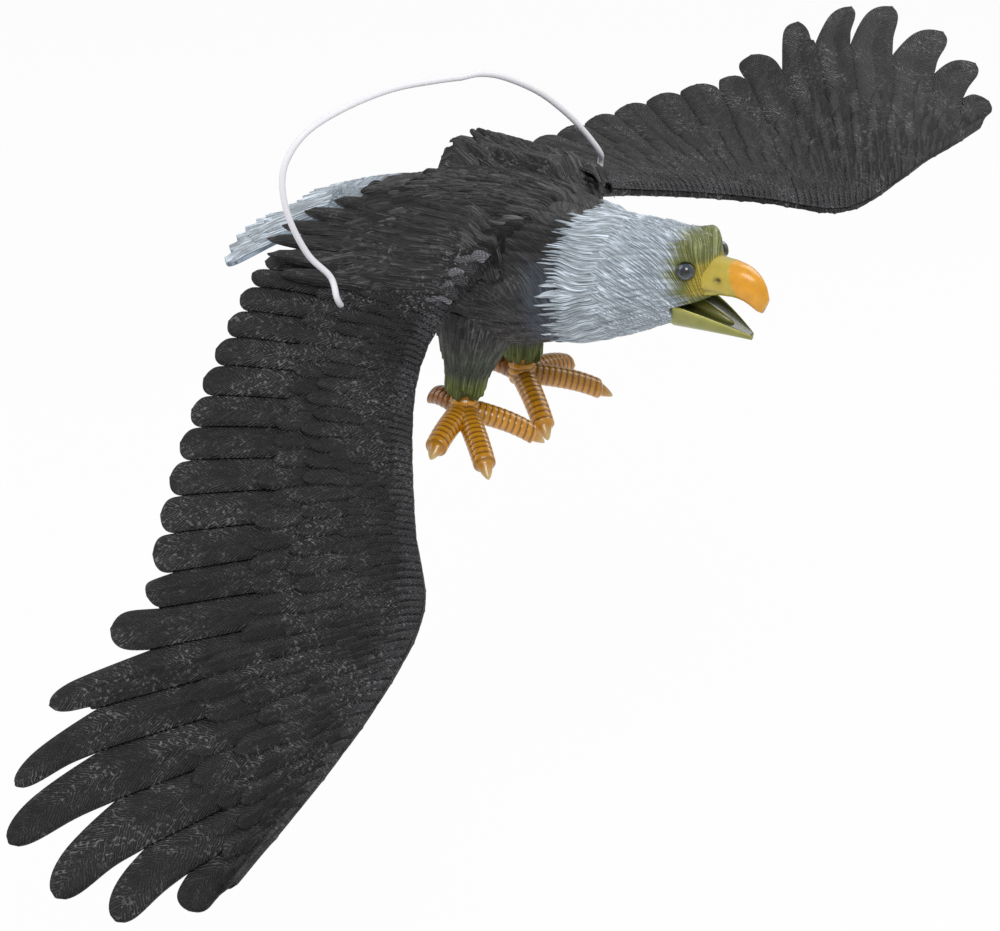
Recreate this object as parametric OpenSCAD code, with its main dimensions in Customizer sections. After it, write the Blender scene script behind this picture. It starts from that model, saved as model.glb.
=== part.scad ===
// Hanging eagle decoy: a soft plastic bird in flight, held by a cord through both wings.
// Millimetres. +X is where the beak points, +Y is the bird's left, +Z is up.
// The origin is the top of the cord loop, where a hook holds it.

/* [Wings] */
// how far the longest flight finger reaches from the wrist
finger_reach = 168; // [150:1:180]
// rest droop of the left wing below level, in degrees
left_droop = 12.5; // [0:0.5:30]
// rest droop of the right wing below level, in degrees
right_droop = 36; // [10:1:40]
// nose-down twist of the left arm's chord, as a slope
left_twist = 0.1; // [0:0.01:0.32]
// nose-down twist of the right arm's chord, as a slope
right_twist = 0.27; // [0:0.01:0.32]
// nose-down twist of both hands' chord, as a slope
hand_twist = 0.28; // [0.15:0.01:0.32]
// extra nose-down twist at the left wing's tip, as a slope
left_tip_twist = 0.15; // [0:0.01:0.2]
// extra nose-down twist at the right wing's tip, as a slope
right_tip_twist = 0; // [0:0.01:0.2]
// sag of the left arm between shoulder and wrist
left_sag = 6; // [0:0.5:12]
// sag of the right arm between shoulder and wrist
right_sag = 0; // [0:0.5:12]
// fore-and-aft camber of the wing
wing_camber = 0.00145; // [0.0005:0.00005:0.002]
// thickness multiplier of the wing blade
blade_scale = 0.85; // [0.7:0.05:1.2]
// relief height of one feather over the next
feather_step = 1.0; // [0.6:0.1:1.4]
// depth of the gaps between the longest fingers
finger_gap = 28; // [15:1:34]
// depth of the scallops along the trailing edge
scallop = 9; // [5:0.5:12]

/* [Shoulders] */
// distance of each shoulder axis from the middle
shoulder_out = 28.5; // [27:0.5:31]
// height of each shoulder axis over the body's datum
shoulder_up = -3; // [-4:0.5:-2]
// radius of the wing's root bar
bar_r = 5; // [4.5:0.1:6]
// length of the wing's root bar
bar_len = 44; // [36:1:48]
// running clearance of the bar in its socket
bar_gap = 0.4; // [0.3:0.05:0.6]
// wall of the shoulder socket
socket_wall = 2.2; // [2:0.1:3]
// thickness of the web between root bar and wing
web_t = 5; // [4:0.25:5.5]

/* [Torso] */
// width multiplier of the body
body_wide = 1; // [0.95:0.01:1.05]
// height multiplier of the body
body_tall = 1; // [0.95:0.01:1.08]
// wall of the hollow body
body_wall = 5; // [3.5:0.5:6]
// height of the body feather tufts
tuft = 0.9; // [0.4:0.1:1.3]

/* [Head] */
// length multiplier of the beak
beak_long = 1; // [0.9:0.02:1.1]
// drop of the open lower beak at its tip
gape_drop = 10; // [6:0.5:12]
// radius of an eye
eye_r = 3.6; // [3:0.1:4]
// clearance of an eye in its socket
eye_gap = 0.12; // [0.08:0.02:0.2]
// radius of the neck plug
plug_r = 15; // [12:0.5:17]
// wall of the neck plug
plug_wall = 3; // [2:0.25:4]
// wall of the hollow head
head_wall = 9; // [7:0.5:12]
// length of the neck plug
plug_len = 10; // [6:1:12]
// clearance of the plugs in their sockets
plug_gap = 0.15; // [0.1:0.05:0.3]

/* [Tail] */
// length of the tail fan behind the rump
tail_len = 56; // [45:1:65]
// half width of the fan at its tips
tail_half = 34; // [26:1:38]
// droop of the tail in degrees
tail_droop = 21; // [12:1:28]

/* [Feet] */
// distance of each ankle from the middle
ankle_out = 21.5; // [19:0.5:23]
// length of the middle toe
toe_len = 41; // [36:1:46]
// radius of a toe at its root
toe_r = 4.9; // [4:0.1:5.2]
// radius of the shank plug
shank_r = 4.6; // [4:0.1:5]

/* [Cord] */
// diameter of the hanging cord
cord_d = 2.5; // [2:0.1:3]
// clearance of the cord in its wing holes
cord_gap = 0.45; // [0.3:0.05:0.6]
// radius of the stop knots
knot_r = 3.4; // [3:0.1:4]

/* [Hidden] */
$fa = 12;
$fs = 1;

coal = [0.10, 0.10, 0.11];
slate = [0.17, 0.16, 0.16];
snow = [0.72, 0.79, 0.86];
ochre = [0.78, 0.48, 0.10];
white = [0.93, 0.93, 0.95];
ink = [0.06, 0.08, 0.11];

// top of the loop, seen from the middle of the shoulder axes
loop_top = [-14, 0, 48];
bore_r = bar_r + bar_gap;
socket_r = bore_r + socket_wall;

function clamp01(t) = min(1, max(0, t));
function ease(t) = let (c = clamp01(t)) c * c * (3 - 2 * c);
function pw(v, e) = sign(v) * pow(abs(v), e);
function mix(a, b, t) = a + (b - a) * t;

// smooth curve through hand-set knots [position, value], eased between them
function slope_at(k, i) = i == 0 ? (k[1][1] - k[0][1]) / (k[1][0] - k[0][0])
    : i == len(k) - 1 ? (k[i][1] - k[i - 1][1]) / (k[i][0] - k[i - 1][0])
    : (k[i + 1][1] - k[i - 1][1]) / (k[i + 1][0] - k[i - 1][0]);
function seg_of(k, x, i = 0) = i >= len(k) - 2 || x <= k[i + 1][0] ? i : seg_of(k, x, i + 1);
function curve(k, x) = let (
        i = seg_of(k, x),
        h = k[i + 1][0] - k[i][0],
        t = clamp01((x - k[i][0]) / h),
        m0 = slope_at(k, i) * h,
        m1 = slope_at(k, i + 1) * h
    ) (2 * t * t * t - 3 * t * t + 1) * k[i][1] + (t * t * t - 2 * t * t + t) * m0
        + (3 * t * t - 2 * t * t * t) * k[i + 1][1] + (t * t * t - t * t) * m1;

function quad(a, b, c, d) = [[a, b, c], [a, c, d]];
function mean(r) = let (n = len(r)) [for (k = [0:2]) [for (p = r) p[k]] * [for (p = r) 1 / n]];

// closed skin over rings that run from one end to the other, ends closed by fans
module skin(rings, flip = false) {
    m = len(rings);
    n = len(rings[0]);
    pts = concat([for (r = rings) each r], [mean(rings[0]), mean(rings[m - 1])]);
    side = [for (i = [0:m - 2], j = [0:n - 1])
        each quad(i * n + j, (i + 1) * n + j, (i + 1) * n + (j + 1) % n, i * n + (j + 1) % n)];
    ends = concat([for (j = [0:n - 1]) [m * n, j, (j + 1) % n]],
        [for (j = [0:n - 1]) [m * n + 1, (m - 1) * n + (j + 1) % n, (m - 1) * n + j]]);
    faces = concat(side, ends);
    polyhedron(pts, flip ? [for (f = faces) [f[2], f[1], f[0]]] : faces);
}

// a sheet of side-by-side feathers: each has a left edge, a quill and a right edge, joined to its
// neighbour up to a cut and free beyond it; roots, cuts and tips are [x, out] and top/low give heights
row_edge = [0, 0.05, 0.2, 0.34, 0.37, 0.6, 0.63, 1];
row_quill = [0, 0.05, 0.2, 0.4, 0.43, 0.67, 0.7, 1];
free_at = [0.5, 0.85, 1];
free_wide = [0.98, 0.76, 0.3];
// sideways bow of a free tip, as a part of its length
free_bow = 0.07;
last_joined = len(row_edge) - 1;
rows = last_joined + len(free_at);
seam = 0.25;
function unit2(v) = v / max(norm(v), 0.001);
function sheet_pt(eroot, ecut, mroot, tip, i, r, c) = let (
        cen = (ecut[i] + ecut[i + 1]) / 2,
        k = c == 0 ? i : i + 1,
        f = min(r, last_joined) / last_joined,
        dir = unit2(mix(mroot[i], cen, f) - mix(eroot[k], ecut[k], f)),
        q = r > last_joined ? free_at[r - last_joined - 1] : 0,
        w = r > last_joined ? free_wide[r - last_joined - 1] : 1,
        reach = tip[i] - cen,
        bow = free_bow * sin(180 * q) * [-abs(reach[1]), -reach[0] * sign(reach[1])],
        mid = r > last_joined ? mix(cen, tip[i], q) + bow : mix(mroot[i], cen, row_quill[r])
    ) c == 1 ? mid : r > last_joined ? mid + (ecut[k] + dir * seam - cen) * w
        : mix(eroot[k], ecut[k], row_edge[r]) + dir * seam;
module feather_sheet(eroot, ecut, mroot, tip, top, low, side) {
    n = len(tip);
    pts = [for (i = [0:n - 1], r = [0:rows], c = [0:2])
        let (p = sheet_pt(eroot, ecut, mroot, tip, i, r, c))
        each [[p[0], side * p[1], top(p, r, c)], [p[0], side * p[1], low(p, r, c)]]];
    t = function (i, r, c) ((i * (rows + 1) + r) * 3 + c) * 2;
    b = function (i, r, c) t(i, r, c) + 1;
    blades = [for (i = [0:n - 1], r = [0:rows - 1], c = [0:1]) each concat(
        quad(t(i, r, c), t(i, r + 1, c), t(i, r + 1, c + 1), t(i, r, c + 1)),
        quad(b(i, r, c), b(i, r, c + 1), b(i, r + 1, c + 1), b(i, r + 1, c)))];
    ends = [for (i = [0:n - 1], c = [0:1]) each concat(
        quad(t(i, 0, c), t(i, 0, c + 1), b(i, 0, c + 1), b(i, 0, c)),
        quad(t(i, rows, c), b(i, rows, c), b(i, rows, c + 1), t(i, rows, c + 1)))];
    seams = [for (i = [0:n - 2], r = [0:last_joined - 1]) each concat(
        quad(t(i, r, 2), t(i, r + 1, 2), t(i + 1, r + 1, 0), t(i + 1, r, 0)),
        quad(b(i, r, 2), b(i + 1, r, 0), b(i + 1, r + 1, 0), b(i, r + 1, 2)))];
    j = last_joined;
    seam_ends = [for (i = [0:n - 2]) each concat(
        quad(t(i, 0, 2), t(i + 1, 0, 0), b(i + 1, 0, 0), b(i, 0, 2)),
        quad(t(i, j, 2), b(i, j, 2), b(i + 1, j, 0), t(i + 1, j, 0)))];
    outer = [for (i = [0:n - 1], r = [(i == n - 1 ? 0 : j):rows - 1])
        each quad(t(i, r, 2), t(i, r + 1, 2), b(i, r + 1, 2), b(i, r, 2))];
    inner = [for (i = [0:n - 1], r = [(i == 0 ? 0 : j):rows - 1])
        each quad(t(i, r, 0), b(i, r, 0), b(i, r + 1, 0), t(i, r + 1, 0))];
    faces = concat(blades, ends, seams, seam_ends, outer, inner);
    polyhedron(pts, side < 0 ? [for (f = faces) [f[2], f[1], f[0]]] : faces);
}

// wing, drawn flat: x forward, out along the arm, up; the shoulder axis is x at out 0, up 0
arm_feathers = 12;
fingers = 7;
feathers = arm_feathers + fingers;
wrist = [62, 150];
lead_knots = [[8, 27], [26, 19], [48, 14], [76, 21], [122, 46], [150, 65], [185, 72], [240, 75], [294, 74]];
function lead(u) = curve(lead_knots, u);
function arm_twist(side) = side > 0 ? left_twist : right_twist;
function tip_twist(side) = side > 0 ? left_tip_twist : right_tip_twist;
function twist_at(side, u) = mix(arm_twist(side), hand_twist, ease((u - 70) / 110)) * ease((u - 14) / 36)
    + tip_twist(side) * ease((u - 190) / 110);
function arm_sag(side, u) = (side > 0 ? left_sag : right_sag) * sin(180 * clamp01((u - 10) / 215));
function arm_bend(u) = -0.211 * u + 0.00231 * pow(u, 2) - 0.00000316 * pow(u, 3);
function wing_up(side, p) = 2.4 - shoulder_up - arm_sag(side, p[1]) + arm_bend(p[1])
    - twist_at(side, p[1]) * p[0] - wing_camber * p[0] * p[0] * ease((p[1] - 8) / 30);
function arm_part(i) = i / (arm_feathers - 1);
function root_out(i) = i < arm_feathers ? 26 + 105 * arm_part(i)
    : 144 + 114 * pow((i - arm_feathers) / (fingers - 1), 1.5);
function finger_angle(j) = 40.5 + 51.5 * pow(j / (fingers - 1), 0.73);
function finger_len(j) = finger_reach - (j < 3.7 ? 7.8 : 5.4) * pow(abs(j - 3.7), 1.6);
function wing_tip(i) = i < arm_feathers
    ? [-64.5 + 49.5 * pow(arm_part(i), 2.3), 39 + 156 * pow(arm_part(i), 1.24)]
    : let (j = i - arm_feathers) wrist + finger_len(j) * [-cos(finger_angle(j)), sin(finger_angle(j))];
// vector from the middle of two tips back to the cut between them
function cut_back(k, m) = k < arm_feathers ? scallop * unit2(wing_eroot[k] - m)
    : let (j = k - arm_feathers, a = 40 * pow(1 - j / 6, 2))
        (10 + finger_gap * sin(180 * (j + 0.1) / 7)) * [sin(a), -cos(a)];
function edge_out(k) = k == 0 ? 10 : k == feathers ? 284 : (root_out(k - 1) + root_out(k)) / 2;
wing_eroot = [for (k = [0:feathers]) [lead(edge_out(k)), edge_out(k)]];
wing_mroot = [for (i = [0:feathers - 1]) [lead(root_out(i)), root_out(i)]];
wing_tips = [for (i = [0:feathers - 1]) wing_tip(i)];
wing_ecut = [for (k = [0:feathers]) k == 0 ? [-48, 20]
    : k == feathers ? [lead(291) - 3, 291]
    : let (m = (wing_tips[k - 1] + wing_tips[k]) / 2) m + cut_back(k, m)];
top_by_row = [1.6, 3.8, 4.5, 4.6, 3.2, 3.0, 1.9, 1.4, 1.2, 1.0, 0.8];
low_by_row = [1.6, 3.0, 2.8, 2.4, 2.2, 1.8, 1.7, 1.3, 1.1, 0.9, 0.7];
function root_swell(p) = 1 + 0.55 * ease((70 - p[1]) / 60);
function tip_thin(p) = p[1] > 130 ? mix(1, 0.7, clamp01((p[1] - 130) / 150)) : 1;
function lie(c) = c == 0 ? -0.55 * feather_step : c == 1 ? 0.4 * feather_step : 0.25 * feather_step;
function wing_top(side, p, r, c) = wing_up(side, p) + blade_scale * root_swell(p) * tip_thin(p)
    * top_by_row[r] + lie(c) * ease(r / 3);
function wing_low(side, p, r, c) = wing_up(side, p) - blade_scale * root_swell(p) * tip_thin(p)
    * low_by_row[r] + 0.6 * lie(c) * ease(r / 3);

// scapular group: loose feathers that arch over the shoulder socket and point back
scap = 7;
shield_up = socket_r + 2.2;
scap_tip_back = [32, 41, 48, 54, 57, 54, 46];
scap_tips = [for (i = [0:scap - 1]) [-scap_tip_back[i], -3 + 8 * i]];
scap_mroot = [for (i = [0:scap - 1]) [25 - 0.9 * i, -5 + 5.2 * i]];
scap_eroot = [for (k = [0:scap]) [25 - 0.9 * k, -6.5 + 5.1 * k]];
scap_ecut = [for (k = [0:scap]) k == 0 ? [-24, -7.5] : k == scap ? [-40, 47]
    : let (m = (scap_tips[k - 1] + scap_tips[k]) / 2) m + [13, -0.5]];
function scap_rise(p) = 4.5 + 3 * ease((10 - p[0]) / 50) - 2.5 * ease((p[1] - 26) / 20);
function scap_up(side, p) = mix(shield_up, wing_up(side, p) + scap_rise(p), ease((p[1] - 6) / 18))
    - 2.5 * ease((p[0] - 14) / 12) * ease((p[1] - 10) / 10);
function scap_top(side, p, r, c) = scap_up(side, p) + (r == 0 ? 0.4 : 1.5) + 1.2 * lie(c) * ease(r / 2);
function scap_low(side, p, r, c) = scap_up(side, p) - 1.5 - 2 * ease((p[1] - 14) / 8);

// cord holes through the wings, and the top of a stop knot under them
knot_seat = -2.15;
left_hole = [-4, 62];
right_hole = [-22, 49];
function hole_of(side) = side > 0 ? left_hole : right_hole;
function droop_of(side) = side > 0 ? left_droop : right_droop;
// wing point to bird point
function shouldered(side, p) = let (d = droop_of(side)) [p[0],
    side * (shoulder_out + p[1] * cos(d) + p[2] * sin(d)), shoulder_up + p[2] * cos(d) - p[1] * sin(d)];

module bird() {
    translate(-loop_top) children();
}

module at_shoulder(side) {
    translate([0, side * shoulder_out, shoulder_up]) rotate([-side * droop_of(side), 0, 0]) children();
}

module wing(side) {
    h = hole_of(side);
    bird() at_shoulder(side) difference() {
        union() {
            feather_sheet(wing_eroot, wing_ecut, wing_mroot, wing_tips,
                function (p, r, c) wing_top(side, p, r, c), function (p, r, c) wing_low(side, p, r, c), side);
            feather_sheet(scap_eroot, scap_ecut, scap_mroot, scap_tips,
                function (p, r, c) scap_top(side, p, r, c), function (p, r, c) scap_low(side, p, r, c), side);
            translate([-bar_len / 2 - 3, 0, 0]) rotate([0, 90, 0]) cylinder(r = bar_r, h = bar_len);
            translate([-bar_len / 2 - 2, side > 0 ? 0 : -19, -web_t / 2]) cube([bar_len - 2, 19, web_t]);
        }
        translate([h[0], side * h[1], wing_up(side, h) - 20]) cylinder(r = cord_d / 2 + cord_gap, h = 40);
    }
}
module left_wing() { color(coal) wing(1); }
module right_wing() { color(coal) wing(-1); }

// torso: sections along x as [x, value] knots
mid_knots = [[-76, -19], [-50, -20.5], [-20, -23], [8, -24.5], [26, -23.5], [46, -22]];
wide_knots = [[-76, 11], [-64, 17.5], [-50, 23], [-30, 29], [-10, 32.5], [8, 33], [26, 31.5], [46, 26]];
tall_knots = [[-76, 9], [-64, 13.5], [-50, 18], [-30, 23.5], [-10, 28], [8, 30.5], [26, 29], [46, 25.5]];
torso_back = -76;
torso_front = 46;
torso_rows = 19;
torso_sides = 30;
function section(x, a, b, mid, n, row, sides, relief) = [for (j = [0:sides - 1]) let (
        t = 360 * j / sides,
        k = 1 + relief / a * ((j + row) % 2 == 0 ? 1 : -0.5),
        e = 2 / (sin(t) > 0 ? n + 0.7 : n)
    ) [x, a * k * pw(cos(t), e), mid + b * k * pw(sin(t), e)]];
function torso_x(i) = mix(torso_back, torso_front, i / torso_rows);
function torso_ring(x, row, off) = section(x, curve(wide_knots, x) * body_wide - off,
    curve(tall_knots, x) * body_tall - off, curve(mid_knots, x), 2.5, row, torso_sides,
    off > 0 ? 0 : tuft * ease((torso_front - x) / 10));
// hollow of the body, from the rump to behind the neck socket
inner_back = -52;
inner_front = torso_front - plug_len - 2;
module torso_form() {
    skin([for (i = [0:torso_rows]) torso_ring(torso_x(i), i, 0)]);
}
module torso_hollow() {
    skin([for (i = [0:8]) torso_ring(mix(inner_back, inner_front, i / 8), 0, body_wall)]);
}
thigh_top = [5, 15, -38];
thigh_end = [0.5, ankle_out, -75.5];
module thigh(side) {
    rings = [for (i = [0:8]) let (
            t = i / 8,
            r = mix(19, 10.6, ease(t)) + (i % 2 == 0 ? tuft : -0.3),
            c = mix(thigh_top, thigh_end, t)
        ) [for (j = [0:17]) let (w = r + ((i + j) % 2 == 0 ? 0.5 : -0.3))
            [c[0] + w * cos(20 * j), side * (c[1] + 0.86 * w * sin(20 * j)), c[2]]]];
    skin(rings, side > 0);
}
// pie slice around the shoulder axis, angles below level being positive
module slice(side, r, up, down, x0, x1) {
    arc = [for (i = [0:12]) let (a = mix(up, -down, i / 12)) [side * r * cos(a), r * sin(a)]];
    translate([x0, side * shoulder_out, shoulder_up]) rotate([90, 0, 90])
        linear_extrude(x1 - x0) polygon(concat([[0, 0]], arc));
}
module torso_shell() {
    bar_x = -bar_len / 2 - 3;
    color(slate) bird() difference() {
        union() {
            difference() {
                union() {
                    torso_form();
                    for (s = [-1, 1]) thigh(s);
                }
                torso_hollow();
                for (s = [-1, 1]) slice(s, 16, 42, 80, -56, 31);
            }
            for (s = [-1, 1]) translate([bar_x - 2, s * shoulder_out, shoulder_up]) rotate([0, 90, 0]) {
                cylinder(r = socket_r, h = bar_len + 4);
                translate([0, 0, bar_len + 4]) cylinder(r1 = socket_r, r2 = 3.5, h = 7);
                translate([0, 0, -7]) cylinder(r1 = 3.5, r2 = socket_r, h = 7);
            }
        }
        for (s = [-1, 1]) {
            translate([bar_x - 0.5, s * shoulder_out, shoulder_up]) rotate([0, 90, 0])
                cylinder(r = bore_r, h = bar_len + 1);
            slice(s, socket_r + 1, 37, 76.5, bar_x - 0.5, bar_x + bar_len + 0.5);
            translate([thigh_end[0], s * ankle_out, thigh_end[2] - 1])
                cylinder(r = shank_r + plug_gap, h = 10);
        }
        translate([inner_front - 1, 0, -22]) rotate([0, 90, 0])
            cylinder(r = plug_r + plug_gap, h = plug_len + 4);
        tail_at() translate([-tang_len, -tang_w / 2 - plug_gap, -tang_t / 2 - plug_gap])
            cube([tang_len + plug_gap, tang_w + 2 * plug_gap, tang_t + 2 * plug_gap]);
    }
}

// tail fan, drawn flat behind its root and turned down
tail_n = 9;
tang_len = 24;
tang_w = 14;
tang_t = 3;
tail_root = [-66, 0, -16];
module tail_at() {
    translate(tail_root) rotate([0, -tail_droop, 0]) children();
}
function tail_s(i) = (i - (tail_n - 1) / 2) / ((tail_n - 1) / 2);
tail_mroot = [for (i = [0:tail_n - 1]) [-12, 12 * tail_s(i)]];
tail_eroot = [for (k = [0:tail_n]) [-12, 13 * (2 * k / tail_n - 1)]];
tail_tips = [for (i = [0:tail_n - 1]) [-tail_len + 7 * pow(tail_s(i), 2), tail_half * tail_s(i)]];
tail_ecut = [for (k = [0:tail_n]) k == 0 ? [-tail_len + 20, -tail_half * 0.92]
    : k == tail_n ? [-tail_len + 20, tail_half * 0.92]
    : (tail_tips[k - 1] + tail_tips[k]) / 2 + [8, 0]];
function tail_up(p) = -0.006 * p[1] * p[1];
module tail_fan() {
    color(snow) bird() tail_at() union() {
        feather_sheet(tail_eroot, tail_ecut, tail_mroot, tail_tips,
            function (p, r, c) tail_up(p) + 1.9 - 0.08 * r + 0.8 * lie(c),
            function (p, r, c) tail_up(p) - 1.7 + 0.08 * r + 0.5 * lie(c), 1);
        translate([-tang_len, -tang_w / 2, -tang_t / 2]) cube([tang_len - plug_gap, tang_w, tang_t]);
    }
}

// head: neck sections, brows as swellings, then the two halves of the beak
neck_back = torso_front + 0.3;
head_mid = [[46, -22], [58, -20.2], [70, -17.2], [82, -13.8], [91, -12.2], [98, -11.5], [103, -11.3]];
head_wide = [[46, 25.4], [58, 24.2], [70, 21.8], [82, 19.2], [91, 16.6], [98, 12.6], [103, 7.5]];
head_tall = [[46, 25.4], [58, 24.8], [70, 23.2], [82, 20.3], [91, 17.8], [98, 13.6], [103, 8]];
brow_at = [97, 50];
function brow(x, t) = 0.3 * exp(-pow((x - brow_at[0]) / 5, 2))
    * (exp(-pow((t - brow_at[1]) / 16, 2)) + exp(-pow((t - 180 + brow_at[1]) / 16, 2)));
head_rows = 16;
head_sides = 28;
function head_ring(i) = let (
        x = mix(neck_back, 103, pow(i / head_rows, 0.92)),
        a = curve(head_wide, x),
        b = curve(head_tall, x),
        m = curve(head_mid, x),
        rough = 0.8 * ease((92 - x) / 14) * ease((x - neck_back + 2) / 6)
    ) [for (j = [0:head_sides - 1]) let (
            t = 360 * j / head_sides,
            k = 1 + rough / a * ((i + j) % 2 == 0 ? 1 : -0.6) + brow(x, t)
        ) [x, a * k * cos(t), m + b * k * sin(t)]];
// hollow of the head, open to the neck plug
hollow_back = neck_back + 4;
hollow_front = 84;
function head_hollow(i) = let (
        x = mix(hollow_back, hollow_front, i / 5),
        r = curve(head_wide, x) - head_wall
    ) [for (j = [0:head_sides - 1]) let (t = 360 * j / head_sides)
        [x, r * cos(t), curve(head_mid, x) + r * sin(t)]];
// upper beak: crown line, cutting line and half width along x
bill_root = 94;
bill_tip = 126.8 + 32 * (beak_long - 1);
crown_line = [[0, -3], [0.3, -1.8], [0.58, -1.6], [0.8, -4.4], [0.93, -9], [1, -15]];
cut_line = [[0, -20.5], [0.35, -20.6], [0.6, -19.4], [0.78, -18], [0.9, -18.8], [1, -20.6]];
bill_wide = [[0, 11], [0.3, 8.4], [0.6, 6.4], [0.85, 4.2], [1, 1.6]];
module upper_bill() {
    rings = [for (i = [0:10]) let (
            t = i / 10,
            x = mix(bill_root, bill_tip, t),
            zt = curve(crown_line, t),
            zb = curve(cut_line, t),
            w = curve(bill_wide, t)
        ) [for (j = [0:13]) let (a = 360 * j / 14)
            [x - 1.6 * ease((t - 0.8) / 0.2) * (sin(a) < 0 ? 1 : 0),
            w * pw(cos(a), 0.8), (zt + zb) / 2 + (zt - zb) / 2 * sin(a)]]];
    skin(rings);
}
module lower_bill() {
    rings = [for (i = [0:7]) let (
            t = i / 7,
            x = mix(88, 119 + 24 * (beak_long - 1), t),
            zt = mix(-20.5, -20.5 - gape_drop, t),
            zb = zt - mix(13, 2.6, pow(t, 0.8)),
            w = mix(11.5, 1.4, pow(t, 1.5))
        ) [for (j = [0:13]) let (a = 360 * j / 14)
            [x, w * pw(cos(a), 0.8), zt + (zb - zt) * (sin(a) > 0 ? 0.28 * sin(a) * (1 - t) : -sin(a))]]];
    skin(rings);
}
eye_at = [96.4, 13, -5];
module head_shell() {
    color(snow) bird() difference() {
        union() {
            skin([for (i = [0:head_rows]) head_ring(i)]);
            upper_bill();
            lower_bill();
            translate([torso_front - plug_len, 0, -22]) rotate([0, 90, 0])
                cylinder(r = plug_r, h = plug_len + 4);
        }
        skin([for (i = [0:5]) head_hollow(i)]);
        translate([torso_front - plug_len - 1, 0, -22]) rotate([0, 90, 0])
            cylinder(r = plug_r - plug_wall, h = plug_len + 8);
        for (s = [-1, 1]) translate([eye_at[0], s * eye_at[1], eye_at[2]]) sphere(r = eye_r + eye_gap);
    }
}
module left_eye() { color(ink) bird() translate(eye_at) sphere(r = eye_r); }
module right_eye() { color(ink) bird() translate([eye_at[0], -eye_at[1], eye_at[2]]) sphere(r = eye_r); }

// feet: a shank, a hub and four scaled toes with claws
hub = [0.5, ankle_out, -83.5];
toe_dirs = [[42, -18, 1], [78, -13, 0.86], [-32, -27, 0.86], [186, -9, 0.5]];
toe_rings = 13;
function toe_pt(d, t, len) = let (l = len * t, sag = -6 * pow(t, 3) + 2.5 * sin(180 * t))
    [l * cos(d[1]) * cos(d[0]), l * cos(d[1]) * sin(d[0]), l * sin(d[1]) + sag];
function toe_rad(i, t) = t > 0.82 ? toe_r * 0.6 * pow(max(0.05, (1 - t) / 0.2), 0.7)
    : toe_r * mix(1, 0.84, t) * (i % 2 == 0 ? 1.05 : 0.9);
module toe(d, side) {
    len = toe_len * d[2];
    rings = [for (i = [0:toe_rings]) let (
            t = i / toe_rings,
            p = toe_pt(d, t, len),
            r = toe_rad(i, t),
            ax = [-sin(d[0]), cos(d[0]), 0],
            up = [-sin(d[1]) * cos(d[0]), -sin(d[1]) * sin(d[0]), cos(d[1])]
        ) [for (j = [0:7]) let (q = p + r * (cos(45 * j) * ax + sin(45 * j) * up))
            [q[0], side * q[1], q[2]]]];
    skin(rings, side < 0);
}
module foot(side) {
    color(ochre) bird() translate([hub[0], side * hub[1], hub[2]]) union() {
        for (d = toe_dirs) toe(d, side);
        translate([0, 0, -4.5]) cylinder(r1 = toe_r * 0.8, r2 = toe_r * 1.3, h = 6);
        cylinder(r = shank_r, h = thigh_end[2] - hub[2] + 7);
    }
}
module left_foot() { foot(1); }
module right_foot() { foot(-1); }

// cord: each half runs from its wing hole to the top of the loop
left_route = [[-1, 84, -6], [-2, 71, 8], [-4, 58, 20], [-7, 44, 31], [-10, 24, 42], [-12, 10, 47],
    [-14, 0.05, 48]];
right_route = [[-26, -74, -14], [-32, -80, -4], [-36, -86, 12], [-38, -87, 26], [-37, -84, 36],
    [-33, -76, 45], [-28, -58, 50], [-22, -36, 52], [-17, -14, 50], [-14, -0.05, 48]];
function hole_at(side, up) = let (h = hole_of(side))
    shouldered(side, [h[0], h[1], wing_up(side, h) + up]);
function route(side) = concat([hole_at(side, knot_seat + 0.3), hole_at(side, 7)],
    side > 0 ? left_route : right_route);
function spline(p, s) = let (
        n = len(p),
        i = min(n - 2, floor(s)),
        t = s - i,
        a = p[max(0, i - 1)],
        b = p[i],
        c = p[i + 1],
        d = p[min(n - 1, i + 2)]
    ) 0.5 * (2 * b + (c - a) * t + (2 * a - 5 * b + 4 * c - d) * t * t + (3 * b - a - 3 * c + d) * t * t * t);
cord_sides = 8;
function cross_unit(a, b) = let (v = cross(a, b)) v / norm(v);
module cord(side) {
    way = route(side);
    rings = 4 * (len(way) - 1);
    path = [for (i = [0:rings]) spline(way, i / 4)];
    loops = [for (i = [0:rings]) let (
            along = path[min(rings, i + 1)] - path[max(0, i - 1)],
            fore = i == rings ? [0, -side, 0] : along,
            a = cross_unit(fore, [1, 0, 0.01]),
            b = cross_unit(fore, a)
        ) [for (j = [0:cord_sides - 1]) let (w = 360 * j / cord_sides)
            path[i] + cord_d / 2 * (cos(w) * a + sin(w) * b)]];
    color(white) bird() skin(loops);
}
module hanging_cord_left() { cord(1); }
module hanging_cord_right() { cord(-1); }
module knot(side) {
    h = hole_of(side);
    color(white) bird() at_shoulder(side)
        translate([h[0], side * h[1], wing_up(side, h) + knot_seat - knot_r]) sphere(r = knot_r);
}
module left_knot() { knot(1); }
module right_knot() { knot(-1); }

torso_shell();
head_shell();
left_eye();
right_eye();
tail_fan();
left_wing();
right_wing();
left_foot();
right_foot();
hanging_cord_left();
hanging_cord_right();
left_knot();
right_knot();
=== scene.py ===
"""Looks of a hanging eagle decoy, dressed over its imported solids.

The shapes are worked out in millimetres in the bird's own frame: +X is the beak, +Y the left wing,
+Z up, with the shoulder axes near the middle. make() turns them into metres in the part's frame.
"""
import math

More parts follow.
